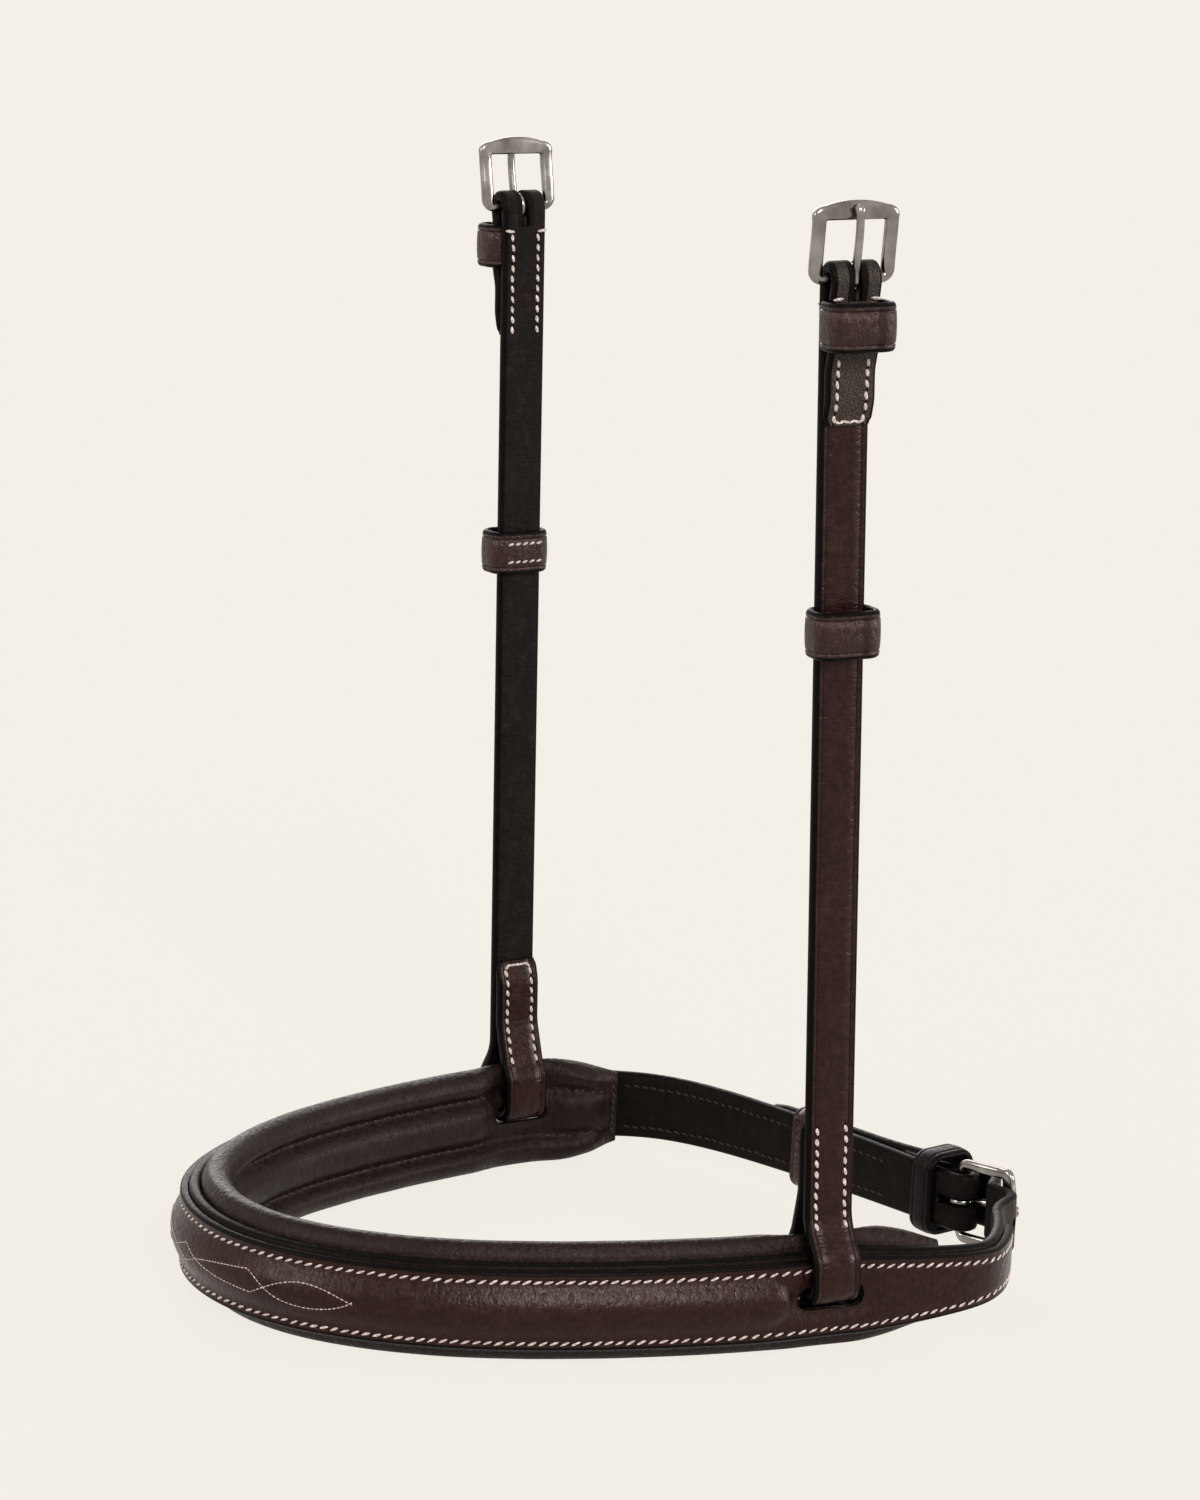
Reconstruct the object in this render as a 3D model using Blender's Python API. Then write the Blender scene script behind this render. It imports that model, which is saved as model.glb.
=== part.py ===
"""Hunter noseband: a padded, raised leather band round the nose, closed by a buckle under the chin,
and hung from two straps with their own buckles. Metres, +Z up, nose towards -Y, chin towards +Y.
The near side, the horse's left, is towards +X and the off side towards -X."""

import math

import bmesh
import bpy
import numpy as np
from mathutils import Matrix, Vector

for old in list(bpy.data.objects):
    bpy.data.objects.remove(old, do_unlink=True)

# Fits shared by all the pieces
GAP = 0.0003
EASE = 0.0004
CUT_OVERRUN = 0.004
EDGE_SOFTNESS = 0.0005

# The plan of the band, measured to the middle of its main strap from the line across its two slots
HALF_WIDTH = 0.0870
NOSE_REACH = 0.1300
CHIN_REACH = 0.0720
# From the middle of the whole part to the line across the slots
SLOT_LINE = 0.0253
# Along the band from that line: the off slot lies nearer the nose and the near one nearer the chin
OFF_SLOT_SHIFT = 0.0061
NEAR_SLOT_SHIFT = 0.0032
NOSE_SHARES = (
    (0.293, 0.954),
    (0.535, 0.827),
    (0.695, 0.677),
    (0.805, 0.515),
    (0.879, 0.365),
    (0.933, 0.219),
    (0.966, 0.085),
)
OFF_CHIN_SHARES = (
    (0.370, 1.000),
    (0.000, 0.893),
    (-0.414, 0.745),
    (-0.680, 0.620),
    (-0.850, 0.475),
    (-0.943, 0.280),
    (-0.975, 0.055),
)
NEAR_CHIN_SHARES = (
    (0.975, 0.055),
    (0.993, 0.280),
    (1.000, 0.500),
    (0.972, 0.680),
    (0.885, 0.800),
    (0.770, 0.895),
    (0.660, 0.985),
)

# Main strap
STRAP_THICKNESS = 0.0030
STRAP_HEIGHT = 0.0230
PAD_END_STRAP_HEIGHT = 0.0195
BILLET_HEIGHT = 0.0160
TURNED_LENGTH = 0.0220
TURNED_SHARES = (1.0, 0.75, 0.5, 0.25)
TURNED_CLOSING = 1.4
BILLET_REACH = 0.0800
TIP_LENGTH = 0.0090
TAPER_TO_CORNER = 0.0488
TIP_PLACE_SHARES = (0.45, 0.75, 0.92, 1.0)
TIP_HEIGHT_SHARES = (0.93, 0.74, 0.48, 0.22)
HOLE_DIAMETER = 0.0034
HOLE_SPACING = 0.0180
HOLE_STEPS = (-1, 1, 2, 3)
USED_HOLE_SHARE = 0.24

# Raised face and its filler
FACE_THICKNESS = 0.0020
FACE_INSET = 0.00125
ROW_INSET = 0.00265
FACE_RISE = 0.0018
FACE_SHOULDER = 0.0026
SHOULDER_RISE_SHARE = 0.85
FACE_STAND_OFF = 0.0030
FACE_PAST_HANGER = 0.0668
FILLER_INSET = 0.0012
FILLER_SLOPE = 0.0016
FILLER_LEAST = 0.0002

# Pad
PAD_HEIGHT = 0.0300
PAD_DEPTH = 0.0088
LINING_THICKNESS = 0.0008
PAD_OVERHANG = 0.0325
PAD_END_RUN = 0.0090
PAD_END_DEPTH_SHARE = 0.42
PAD_END_HEIGHT_SHARE = 0.67
PAD_END_STATION_SHARE = 0.75
PINCH_SHARE = 0.45
# Along the band from a hanger's middle to where it no longer pinches the pad and flattens the face
HANGER_SETTLES = 0.0180
SETTLE_SHARES = (0.33, 0.55, 0.78, 1.0)
# Depth and height of the lining's outside, from its lip on the strap to the middle channel
LINING_SHARES = (
    (0.00, 0.50),
    (0.00, 0.81),
    (0.20, 0.985),
    (0.50, 1.0),
    (0.82, 0.88),
    (0.93, 0.69),
    (0.60, 0.46),
    (0.92, 0.24),
)
ROLL_DEPTH_SHARE = 0.93
ROLL_MIDDLE_SHARE = 0.74
ROLL_HALF_HEIGHT_SHARE = 0.135
CHANNEL_DEPTH_SHARE = 0.92
CENTRE_FOAM_SHARES = ((0.00, 0.43), (0.32, 0.39), (1.00, 0.19))

# Hangers
HANGER_WIDTH = 0.0130
HANGER_THICKNESS = 0.0030
NEAR_HANGER_LEAN = math.radians(1.9)
OFF_HANGER_LEAN = math.radians(1.1)
HANGER_STANDOFF = 0.0009
HANGER_PAD_CLEARANCE = 0.0015
# How far the plies draw back together above the band
HANGER_DRAWS_IN = 0.0059
SLOT_LENGTH_ROOM = 0.0055
SLOT_HEIGHT_ROOM = 0.0030
LOOP_INNER_RADIUS = 0.0020
LOOP_SHOULDER_HEIGHT = 0.0135
LOOP_CLOSE_HEIGHT = 0.0235
FACE_SHOULDER_HEIGHT = 0.0105
FACE_CLOSE_HEIGHT = 0.0205
LOOP_END_HEIGHT = 0.0450
NEAR_BAR_HEIGHT = 0.2550
OFF_BAR_HEIGHT = 0.2575
TOP_FOLD_LENGTH = 0.0350
KEEPER_WIDTH = 0.0118
FIXED_KEEPER_GAP = 0.0003
NEAR_RUNNER_DROP = 0.0855
OFF_RUNNER_DROP = 0.0952
KEEPER_THICKNESS = 0.0018
KEEPER_BACK_THICKNESS = 0.0014
KEEPER_ROOM = 0.0049
KEEPER_INNER_RADIUS = 0.0012
PLY_SETTLE_SHARE = 1.6

# Buckles
BAR_DIAMETER = 0.0026
FRAME_REACH = 0.0164
FRAME_SIDE_WIDTH = 0.0034
FRAME_TOP_WIDTH = 0.0048
FRAME_CORNER_WIDTH = 0.0036
FRAME_THICKNESS = 0.0022
FRAME_ARCH = 0.0020
FRAME_TOP_RADIUS = 0.0030
FRAME_HEEL_RADIUS = 0.0018
FRAME_ROOM = 0.0013
FRAME_EDGE_SHARE = 0.55
HEEL_STRAIGHT_SHARE = 0.85
CROWN_SHARES = (0.85, 0.45)
TONGUE_DIAMETER = 0.0020
TONGUE_SLOT_ROOM = 0.0009
TONGUE_TIP_PAST = 0.0016
TONGUE_BEND_SHARE = 0.35
TONGUE_TIP_SHARE = 0.7

# Chin closure
CHIN_FRAME_REACH = 0.0155
CHIN_FRAME_SIDE_WIDTH = 0.0028
CHIN_FRAME_ARCH = 0.0025
CHIN_FRAME_ROOM = 0.0009
CHIN_KEEPER_GAP = 0.00065
CHIN_KEEPER_WIDTH = 0.0085
CHIN_RUNNER_PLACE = 0.0550
CHIN_RUNNER_WIDTH = 0.0110
CHIN_BILLET_GAP = 0.0008
BILLET_LEAVES_FOLD = 0.0040
BILLET_PAST_FACE_START = 0.0110
TAIL_STEP = 0.0100

BAND_MIDDLE = PAD_HEIGHT / 2
HALF_STRAP = STRAP_THICKNESS / 2
BAR_RADIUS = BAR_DIAMETER / 2
FACE_INSIDE = HALF_STRAP + GAP
FACE_OUTSIDE = FACE_INSIDE + FACE_THICKNESS
FACE_START = TURNED_LENGTH + FACE_STAND_OFF
PAD_BACK = HALF_STRAP + GAP
SLOT_LENGTH = HANGER_WIDTH + SLOT_LENGTH_ROOM
SLOT_HEIGHT = HANGER_THICKNESS + SLOT_HEIGHT_ROOM
TONGUE_SLOT_WIDTH = TONGUE_DIAMETER + TONGUE_SLOT_ROOM


def smoothstep(share):
    share = min(max(share, 0.0), 1.0)
    return share * share * (3 - 2 * share)


def mix(first, second, share):
    return first + (second - first) * share


def between(value, table):
    """The second number of the table's rows, read off at a value of the first."""
    return float(np.interp(value, [row[0] for row in table], [row[1] for row in table]))


class SmoothLine:
    """A natural cubic curve through plan points, read by its length from the first of them."""

    SAMPLES_PER_SPAN = 40

    def __init__(self, points):
        points = np.array(points, float)
        spans = np.linalg.norm(np.diff(points, axis=0), axis=1)
        knots = np.concatenate(([0.0], np.cumsum(spans)))
        count = len(points)
        system = np.eye(count)
        known = np.zeros((count, 2))
        for k in range(1, count - 1):
            system[k, k - 1 : k + 2] = spans[k - 1], 2 * (spans[k - 1] + spans[k]), spans[k]
            after = (points[k + 1] - points[k]) / spans[k]
            before = (points[k] - points[k - 1]) / spans[k - 1]
            known[k] = 6 * (after - before)
        bends = np.linalg.solve(system, known)
        places = []
        for k in range(count - 1):
            for share in np.linspace(0, 1, self.SAMPLES_PER_SPAN, endpoint=False):
                left = 1 - share
                curve = (left**3 - left) * bends[k] + (share**3 - share) * bends[k + 1]
                places.append(left * points[k] + share * points[k + 1] + curve * spans[k] ** 2 / 6)
        places.append(points[-1])
        self.places = np.array(places)
        steps = np.linalg.norm(np.diff(self.places, axis=0), axis=1)
        self.arcs = np.concatenate(([0.0], np.cumsum(steps)))
        self.length = float(self.arcs[-1])
        self.knot_arcs = self.arcs[:: self.SAMPLES_PER_SPAN]
        headings = np.gradient(self.places, self.arcs, axis=0)
        self.headings = headings / np.linalg.norm(headings, axis=1)[:, None]

    def read(self, values, arc):
        return Vector([float(np.interp(arc, self.arcs, values[:, k])) for k in (0, 1)])

    def place(self, arc, outward=0.0):
        heading = self.heading(arc)
        return self.read(self.places, arc) + Vector((heading.y, -heading.x)) * outward

    def heading(self, arc):
        return self.read(self.headings, arc).normalized()

    def arc_at(self, y, side):
        """Where the band crosses a line across it, on the near (+1) or off (-1) side."""
        crossed = np.diff(np.sign(self.places[:, 1] - y)) != 0
        found = np.where(crossed & (self.places[:-1, 0] * side > 0))[0]
        return float(self.arcs[found[0] if side < 0 else found[-1]])

    def stations(self, keys, turn, longest):
        """Arcs through all the keys, closer together where the line turns more."""
        headings = np.unwrap(np.arctan2(self.headings[:, 1], self.headings[:, 0]))
        steps = np.abs(np.diff(headings)) / turn + np.diff(self.arcs) / longest
        effort = np.concatenate(([0.0], np.cumsum(steps)))
        keys = sorted(set(keys))
        levels = np.interp(keys, self.arcs, effort)
        found = []
        for start, first, last in zip(keys, levels, levels[1:]):
            steps = max(round(last - first), 1)
            between_keys = np.linspace(first, last, steps, endpoint=False)[1:]
            found += [start] + [float(arc) for arc in np.interp(between_keys, effort, self.arcs)]
        return found + [keys[-1]]


def finish(name, colour, roughness, metallic=0.0):
    material = bpy.data.materials.new(name)
    material.use_nodes = True
    shader = material.node_tree.nodes["Principled BSDF"]
    shader.inputs["Base Color"].default_value = (*colour, 1.0)
    shader.inputs["Roughness"].default_value = roughness
    shader.inputs["Metallic"].default_value = metallic
    material.diffuse_color = (*colour, 1.0)
    return material


HAVANA_LEATHER = finish("havana_bridle_leather", (0.060, 0.022, 0.018), 0.42)
STRAP_LEATHER = finish("black_edged_strap_leather", (0.016, 0.011, 0.010), 0.55)
BLACK_LEATHER = finish("black_keeper_leather", (0.008, 0.007, 0.007), 0.50)
PAD_LEATHER = finish("soft_pad_leather", (0.050, 0.026, 0.022), 0.60)
PAD_FOAM = finish("pad_foam", (0.45, 0.42, 0.36), 0.90)
FILLER_FELT = finish("filler_felt", (0.20, 0.14, 0.10), 0.90)
STAINLESS = finish("stainless_steel", (0.62, 0.60, 0.58), 0.22, 1.0)


def add_object(name, mesh_form, material, origin=Vector((0, 0, 0))):
    bmesh.ops.recalc_face_normals(mesh_form, faces=mesh_form.faces)
    bmesh.ops.translate(mesh_form, verts=mesh_form.verts, vec=-origin)
    mesh = bpy.data.meshes.new(name)
    mesh_form.to_mesh(mesh)
    mesh_form.free()
    mesh.materials.append(material)
    mesh.shade_smooth()
    mesh.set_sharp_from_angle(angle=math.radians(35))
    obj = bpy.data.objects.new(name, mesh)
    obj.location = origin
    bpy.context.scene.collection.objects.link(obj)
    return obj


def loft(rings, closed=False):
    """A skin through a row of rings of points, with its ends capped unless it closes on itself."""
    form = bmesh.new()
    loops = [[form.verts.new(point) for point in ring] for ring in rings]
    pairs = list(zip(loops, loops[1:]))
    if closed:
        pairs.append((loops[-1], loops[0]))
    for here, there in pairs:
        for k, corner in enumerate(here):
            after = (k + 1) % len(here)
            form.faces.new((corner, here[after], there[after], there[k]))
    if not closed:
        form.faces.new(list(reversed(loops[0])))
        form.faces.new(loops[-1])
    return form


def soft_rectangle(half_across, half_along, softness):
    """The eight corners of a rectangle with its corners taken off."""
    softness = min(softness, half_across * 0.6, half_along * 0.6)
    inner_across, inner_along = half_across - softness, half_along - softness
    quarter = ((half_across, inner_along), (inner_across, half_along))
    points = []
    for across_side, along_side in ((1, 1), (-1, 1), (-1, -1), (1, -1)):
        corner = [(across * across_side, along * along_side) for across, along in quarter]
        points += corner if across_side == along_side else reversed(corner)
    return points


def side_directions(line):
    """At each point of a plane line: the way to its right, and the stretch that keeps its thickness."""
    found = []
    for k, point in enumerate(line):
        ahead = (line[min(k + 1, len(line) - 1)] - point).normalized() if k < len(line) - 1 else None
        behind = (point - line[k - 1]).normalized() if k else None
        heading = ((ahead or behind) + (behind or ahead)).normalized()
        stretch = 1 / max(heading.dot(ahead or behind), 0.6)
        found.append((Vector((heading.y, -heading.x)), stretch))
    return found


def ribbon(line, heights, thickness, to_world):
    """A strap that follows a plane line: to_world turns a plane point and a height into a place."""
    rings = []
    for point, height, (side, stretch) in zip(line, heights, side_directions(line)):
        outline = soft_rectangle(thickness / 2, height / 2, EDGE_SOFTNESS)
        rings.append([to_world(point + side * (across * stretch), along) for across, along in outline])
    return loft(rings)


def arc_points(centre, radius, start, end, steps):
    """Points along an arc in the plane, angles in degrees."""
    angles = np.radians(np.linspace(start, end, steps + 1))
    return [centre + Vector((math.cos(angle), math.sin(angle))) * radius for angle in angles]


def cut(obj, name, form):
    cutter = add_object(name, form, HAVANA_LEATHER)
    cutter.hide_render = True
    cutter.display_type = "WIRE"
    modifier = obj.modifiers.new(name, "BOOLEAN")
    modifier.operation = "DIFFERENCE"
    modifier.solver = "EXACT"
    modifier.object = cutter
    return cutter


def cut_with(obj, cutter):
    modifier = obj.modifiers.new(cutter.name, "BOOLEAN")
    modifier.operation = "DIFFERENCE"
    modifier.solver = "EXACT"
    modifier.object = cutter


# The plan line runs from the chin buckle along the off side, round the nose and back on the near side
def plan_points():
    off_chin = [(x * HALF_WIDTH, y * CHIN_REACH) for x, y in OFF_CHIN_SHARES]
    off_nose = [(-x * HALF_WIDTH, -y * NOSE_REACH) for x, y in reversed(NOSE_SHARES)]
    near_nose = [(x * HALF_WIDTH, -y * NOSE_REACH) for x, y in NOSE_SHARES]
    near_chin = [(x * HALF_WIDTH, y * CHIN_REACH) for x, y in NEAR_CHIN_SHARES]
    points = off_chin + off_nose + [(0.0, -NOSE_REACH)] + near_nose + near_chin
    return [Vector((x, y + SLOT_LINE)) for x, y in points]


FOLD_RADIUS = BAR_RADIUS + GAP + HALF_STRAP
FOLD_OUTSIDE = FOLD_RADIUS + HALF_STRAP
loop_points = plan_points()
CHIN_ALONG = (loop_points[0] - loop_points[1]).normalized()
CHIN_OUT = Vector((-CHIN_ALONG.y, CHIN_ALONG.x))
CHIN_BAR = loop_points[0] + CHIN_OUT * FOLD_RADIUS


def chin_place(along, out):
    return CHIN_BAR + CHIN_ALONG * along + CHIN_OUT * out


# The billet dips inside the end bar, climbs through the window and lies on the fold
END_BAR_INSIDE = CHIN_FRAME_ARCH - FRAME_THICKNESS / 2
BILLET_DIP = END_BAR_INSIDE - CHIN_BILLET_GAP - HALF_STRAP
BILLET_ON_FOLD = FOLD_OUTSIDE + EASE + HALF_STRAP
WINDOW_SHARES = ((1.20, 0.00), (1.00, 0.00), (0.79, 0.03), (0.50, 0.78), (0.26, 1.02))
window_points = [
    chin_place(along * CHIN_FRAME_REACH, mix(BILLET_DIP, BILLET_ON_FOLD, rise))
    for along, rise in WINDOW_SHARES
]
BILLET_ON_FACE = FACE_OUTSIDE + EASE + HALF_STRAP
BILLET_SETTLES = (BILLET_LEAVES_FOLD, FACE_START + BILLET_PAST_FACE_START)
first_line = SmoothLine(loop_points + window_points)


def billet_out(arc):
    """How far the middle of the billet lies outside the middle of the strap under it."""
    start, end = BILLET_SETTLES
    return mix(FOLD_RADIUS + BILLET_ON_FOLD, BILLET_ON_FACE, smoothstep((arc - start) / (end - start)))


tail_arcs = np.linspace(0.0, BILLET_REACH, round(BILLET_REACH / TAIL_STEP) + 1)
tail_points = [first_line.place(arc, billet_out(arc)) for arc in tail_arcs]
band = SmoothLine(loop_points + window_points + tail_points)

OFF_HANGER = band.arc_at(SLOT_LINE, -1) + OFF_SLOT_SHIFT
NEAR_HANGER = band.arc_at(SLOT_LINE, 1) + NEAR_SLOT_SHIFT
PAD_START = OFF_HANGER - PAD_OVERHANG
PAD_END = NEAR_HANGER + PAD_OVERHANG
FACE_END = NEAR_HANGER + FACE_PAST_HANGER
FACE_RISES = (SETTLE_SHARES[1] * HANGER_SETTLES, HANGER_SETTLES)
PAD_UNPINCHES = (SETTLE_SHARES[0] * HANGER_SETTLES, HANGER_SETTLES)
FILLER_START = OFF_HANGER + SETTLE_SHARES[2] * HANGER_SETTLES
FILLER_END = NEAR_HANGER - SETTLE_SHARES[2] * HANGER_SETTLES
FOAM_START = PAD_START + PAD_END_RUN / 2
FOAM_END = PAD_END - PAD_END_RUN / 2
BILLET_TIP = band.length - TIP_LENGTH
TURN_PER_STATION = math.radians(11)
LONGEST_STATION = 0.030
key_arcs = [0.0, FACE_START, PAD_START, PAD_END, FACE_END, FOAM_START, FOAM_END, BILLET_TIP]
key_arcs += [PAD_START + PAD_END_RUN * PAD_END_STATION_SHARE, PAD_END - PAD_END_RUN * PAD_END_STATION_SHARE]
for settle_share in SETTLE_SHARES:
    settle = settle_share * HANGER_SETTLES
    key_arcs += [OFF_HANGER - settle, OFF_HANGER + settle, NEAR_HANGER - settle, NEAR_HANGER + settle]
STATIONS = band.stations(key_arcs, TURN_PER_STATION, LONGEST_STATION)


def strap_height(arc):
    return between(
        arc,
        (
            (0.0, BILLET_HEIGHT),
            (PAD_START, PAD_END_STRAP_HEIGHT),
            (OFF_HANGER - SLOT_LENGTH / 2, STRAP_HEIGHT),
            (NEAR_HANGER + SLOT_LENGTH / 2, STRAP_HEIGHT),
            (NEAR_HANGER + TAPER_TO_CORNER, BILLET_HEIGHT),
        ),
    )


def band_place(arc, out, rise):
    point = band.place(arc, out)
    return Vector((point.x, point.y, BAND_MIDDLE + rise))


def band_loft(start, end, section):
    """A layer of the band: section gives its outline, outward and upward, at each arc."""
    arcs = [arc for arc in STATIONS if start <= arc <= end]
    return loft([[band_place(arc, out, rise) for out, rise in section(arc)] for arc in arcs])


# Main strap: turned end, fold round the chin bar, the band itself and the billet in one piece
def build_main_strap():
    line, heights = [], []
    for share in TURNED_SHARES:
        arc = TURNED_LENGTH * share
        apart = mix(2 * FOLD_RADIUS, STRAP_THICKNESS + GAP, smoothstep(TURNED_CLOSING * share))
        line.append(band.place(arc, apart))
        heights.append(BILLET_HEIGHT)
    turn = math.degrees(math.atan2(CHIN_OUT.y, CHIN_OUT.x))
    fold = arc_points(CHIN_BAR, FOLD_RADIUS, turn, turn - 180, 8)
    line += fold
    heights += [BILLET_HEIGHT] * len(fold)
    arcs = STATIONS[1:]
    line += [band.place(arc) for arc in arcs]
    heights += [strap_height(arc) for arc in arcs]
    for place, height in zip(TIP_PLACE_SHARES, TIP_HEIGHT_SHARES):
        line.append(band.place(band.length - TIP_LENGTH * (1 - place)))
        heights.append(BILLET_HEIGHT * height)
    form = ribbon(
        line, heights, STRAP_THICKNESS, lambda point, rise: Vector((point.x, point.y, BAND_MIDDLE + rise))
    )
    return add_object("main_strap", form, STRAP_LEATHER)


def face_rise(arc):
    """The share of its full rise that the raised face has: none near the slots."""
    start, end = FACE_RISES
    return smoothstep((min(arc - OFF_HANGER, NEAR_HANGER - arc) - start) / (end - start))


def face_section(arc):
    half = strap_height(arc) / 2 - FACE_INSET
    row = half - ROW_INSET
    rise = FACE_RISE * face_rise(arc)
    steps = (
        (half, 0.0),
        (row, 0.0),
        (row - FACE_SHOULDER, rise * SHOULDER_RISE_SHARE),
        (0.0, rise),
        (FACE_SHOULDER - row, rise * SHOULDER_RISE_SHARE),
        (-row, 0.0),
        (-half, 0.0),
    )
    outside = [(FACE_OUTSIDE + out, up) for up, out in steps]
    inside = [(FACE_INSIDE + out, up) for up, out in reversed(steps)]
    return outside + inside


def filler_section(arc):
    half = strap_height(arc) / 2 - FACE_INSET - ROW_INSET - FILLER_INSET
    rise = FACE_RISE * face_rise(arc)
    side = FACE_INSIDE + max(rise * SHOULDER_RISE_SHARE - GAP, FILLER_LEAST)
    crown = FACE_INSIDE + max(rise - GAP, FILLER_LEAST)
    slope = half - FILLER_SLOPE
    return [(FACE_INSIDE, half), (side, slope), (crown, 0.0), (side, -slope), (FACE_INSIDE, -half)]


# Pad: a thin lining round two rolls and a middle channel of foam
def pad_shares(arc):
    """How much of its full depth and height the pad has at an arc."""
    from_end = min(arc - PAD_START, PAD_END - arc)
    end = smoothstep(from_end / PAD_END_RUN)
    taper = min(from_end / (PAD_OVERHANG - SLOT_LENGTH / 2), 1.0)
    hanger = min(abs(arc - OFF_HANGER), abs(arc - NEAR_HANGER))
    start, last = PAD_UNPINCHES
    pinch = mix(PINCH_SHARE, 1.0, smoothstep((hanger - start) / (last - start)))
    return mix(PAD_END_DEPTH_SHARE, 1.0, end) * pinch, mix(PAD_END_HEIGHT_SHARE, 1.0, taper)


def inset_line(points, distance):
    """An open line moved to its right by a distance, mitred at its corners."""
    moved = []
    for point, (side, stretch) in zip(points, side_directions(points)):
        moved.append(point + side * (distance * min(stretch, 1.35)))
    return moved


def lining_section(arc):
    depth_share, height_share = pad_shares(arc)
    upper = [
        Vector((-PAD_BACK - depth * PAD_DEPTH * depth_share, height * PAD_HEIGHT / 2 * height_share))
        for depth, height in LINING_SHARES
    ]
    outside = upper + [Vector((point.x, -point.y)) for point in reversed(upper)]
    inside = inset_line(outside, -LINING_THICKNESS)
    return [tuple(point) for point in outside] + [tuple(point) for point in reversed(inside)]


def roll_foam_section(side):
    def section(arc):
        depth_share, height_share = pad_shares(arc)
        half_depth = ROLL_DEPTH_SHARE * PAD_DEPTH * depth_share / 2
        half_height = PAD_HEIGHT / 2 * height_share
        across = half_depth - LINING_THICKNESS - 2 * GAP
        tall = ROLL_HALF_HEIGHT_SHARE * half_height
        middle = side * ROLL_MIDDLE_SHARE * half_height
        angles = [math.tau * k / 8 for k in range(8)]
        return [
            (-PAD_BACK - half_depth + across * math.cos(angle), middle + tall * math.sin(angle))
            for angle in angles
        ]

    return section


def centre_foam_section(arc):
    depth_share, height_share = pad_shares(arc)
    crown = CHANNEL_DEPTH_SHARE * PAD_DEPTH * depth_share - LINING_THICKNESS - 1.3 * GAP
    half_height = PAD_HEIGHT / 2 * height_share
    upper = [(-PAD_BACK - depth * crown, height * half_height) for depth, height in CENTRE_FOAM_SHARES]
    return upper + [(out, -rise) for out, rise in reversed(upper)]


def build_band():
    strap = build_main_strap()
    face = add_object("raised_face", band_loft(FACE_START, FACE_END, face_section), HAVANA_LEATHER)
    add_object("face_filler", band_loft(FILLER_START, FILLER_END, filler_section), FILLER_FELT)
    lining = add_object("pad_lining", band_loft(PAD_START, PAD_END, lining_section), PAD_LEATHER)
    add_object("upper_roll_foam", band_loft(FOAM_START, FOAM_END, roll_foam_section(1)), PAD_FOAM)
    add_object("lower_roll_foam", band_loft(FOAM_START, FOAM_END, roll_foam_section(-1)), PAD_FOAM)
    centre = add_object("centre_foam", band_loft(FOAM_START, FOAM_END, centre_foam_section), PAD_FOAM)
    for name, arc in (("near_slot_cutter", NEAR_HANGER), ("off_slot_cutter", OFF_HANGER)):
        cutter = cut(strap, name, slot_form(arc))
        for layer in (face, lining, centre):
            cut_with(layer, cutter)
    return strap


def slot_form(arc):
    """A round-ended slot through every layer of the band."""
    heading = band.heading(arc)
    radius = SLOT_HEIGHT / 2
    straight = SLOT_LENGTH / 2 - radius
    outline = arc_points(Vector((straight, 0)), radius, -90, 90, 6)
    outline += arc_points(Vector((-straight, 0)), radius, 90, 270, 6)
    rings = []
    for out in (FACE_OUTSIDE + CUT_OVERRUN, -PAD_BACK - PAD_DEPTH - CUT_OVERRUN):
        middle = band.place(arc, out)
        ring = []
        for point in outline:
            place = middle + heading * point.x
            ring.append(Vector((place.x, place.y, BAND_MIDDLE + point.y)))
        rings.append(ring)
    return loft(rings)


class Seat:
    """A local frame: out from the leather, across it and up along it."""

    def __init__(self, origin, out, across, along):
        self.origin, self.out, self.across, self.along = origin, out, across, along

    def place(self, out, across, along):
        return self.origin + self.out * out + self.across * across + self.along * along

    def moved(self, out=0.0, across=0.0, along=0.0):
        return Seat(self.place(out, across, along), self.out, self.across, self.along)


def hanger_seat(arc, chinward, lean):
    """The frame of a hanger: its origin is in its slot, at the middle of the main strap."""
    heading = band.heading(arc)
    out = Vector((heading.y, -heading.x, 0))
    middle = band.place(arc)
    upright, flat = Vector((0, 0, 1)), Vector((heading.x, heading.y, 0)) * chinward
    along = upright * math.cos(lean) - flat * math.sin(lean)
    across = flat * math.cos(lean) + upright * math.sin(lean)
    return Seat(Vector((middle.x, middle.y, BAND_MIDDLE)), out, across, along)


# Places across a hanger, measured outward from the middle of the main strap
HALF_HANGER = HANGER_THICKNESS / 2
HANGER_ON_FACE = FACE_OUTSIDE + HANGER_STANDOFF + HALF_HANGER
HANGER_OUT = HANGER_ON_FACE - HANGER_DRAWS_IN
HANGER_IN = -PAD_BACK - PAD_DEPTH * PINCH_SHARE - HANGER_PAD_CLEARANCE - HALF_HANGER
PLY_SPACING = HANGER_THICKNESS + GAP
HANGER_FOLD_RADIUS = BAR_RADIUS + GAP + HALF_HANGER
HANGER_BAR_OUT = HANGER_OUT + HANGER_FOLD_RADIUS
KEEPER_PLY_SPACING = PLY_SPACING + KEEPER_BACK_THICKNESS + GAP
SWING_OUT = (FACE_OUTSIDE - PAD_BACK - PAD_DEPTH * PINCH_SHARE) / 2
LOOP_BEND = LOOP_INNER_RADIUS + HALF_HANGER
LOOP_SPREAD_SHARES = (0.3, 0.6, 0.5, 0.4)
FACE_SPREAD_SHARES = ((1.0, 0.0), (0.62, 0.30), (0.20, 0.66), (0.0, 1.0))
HANGER_FOLD_OUTSIDE = HANGER_FOLD_RADIUS + HALF_HANGER
FIXED_KEEPER_DROP = HANGER_FOLD_OUTSIDE + FIXED_KEEPER_GAP + KEEPER_WIDTH / 2
HALF_ROOM = HANGER_WIDTH / 2 + EASE


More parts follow.
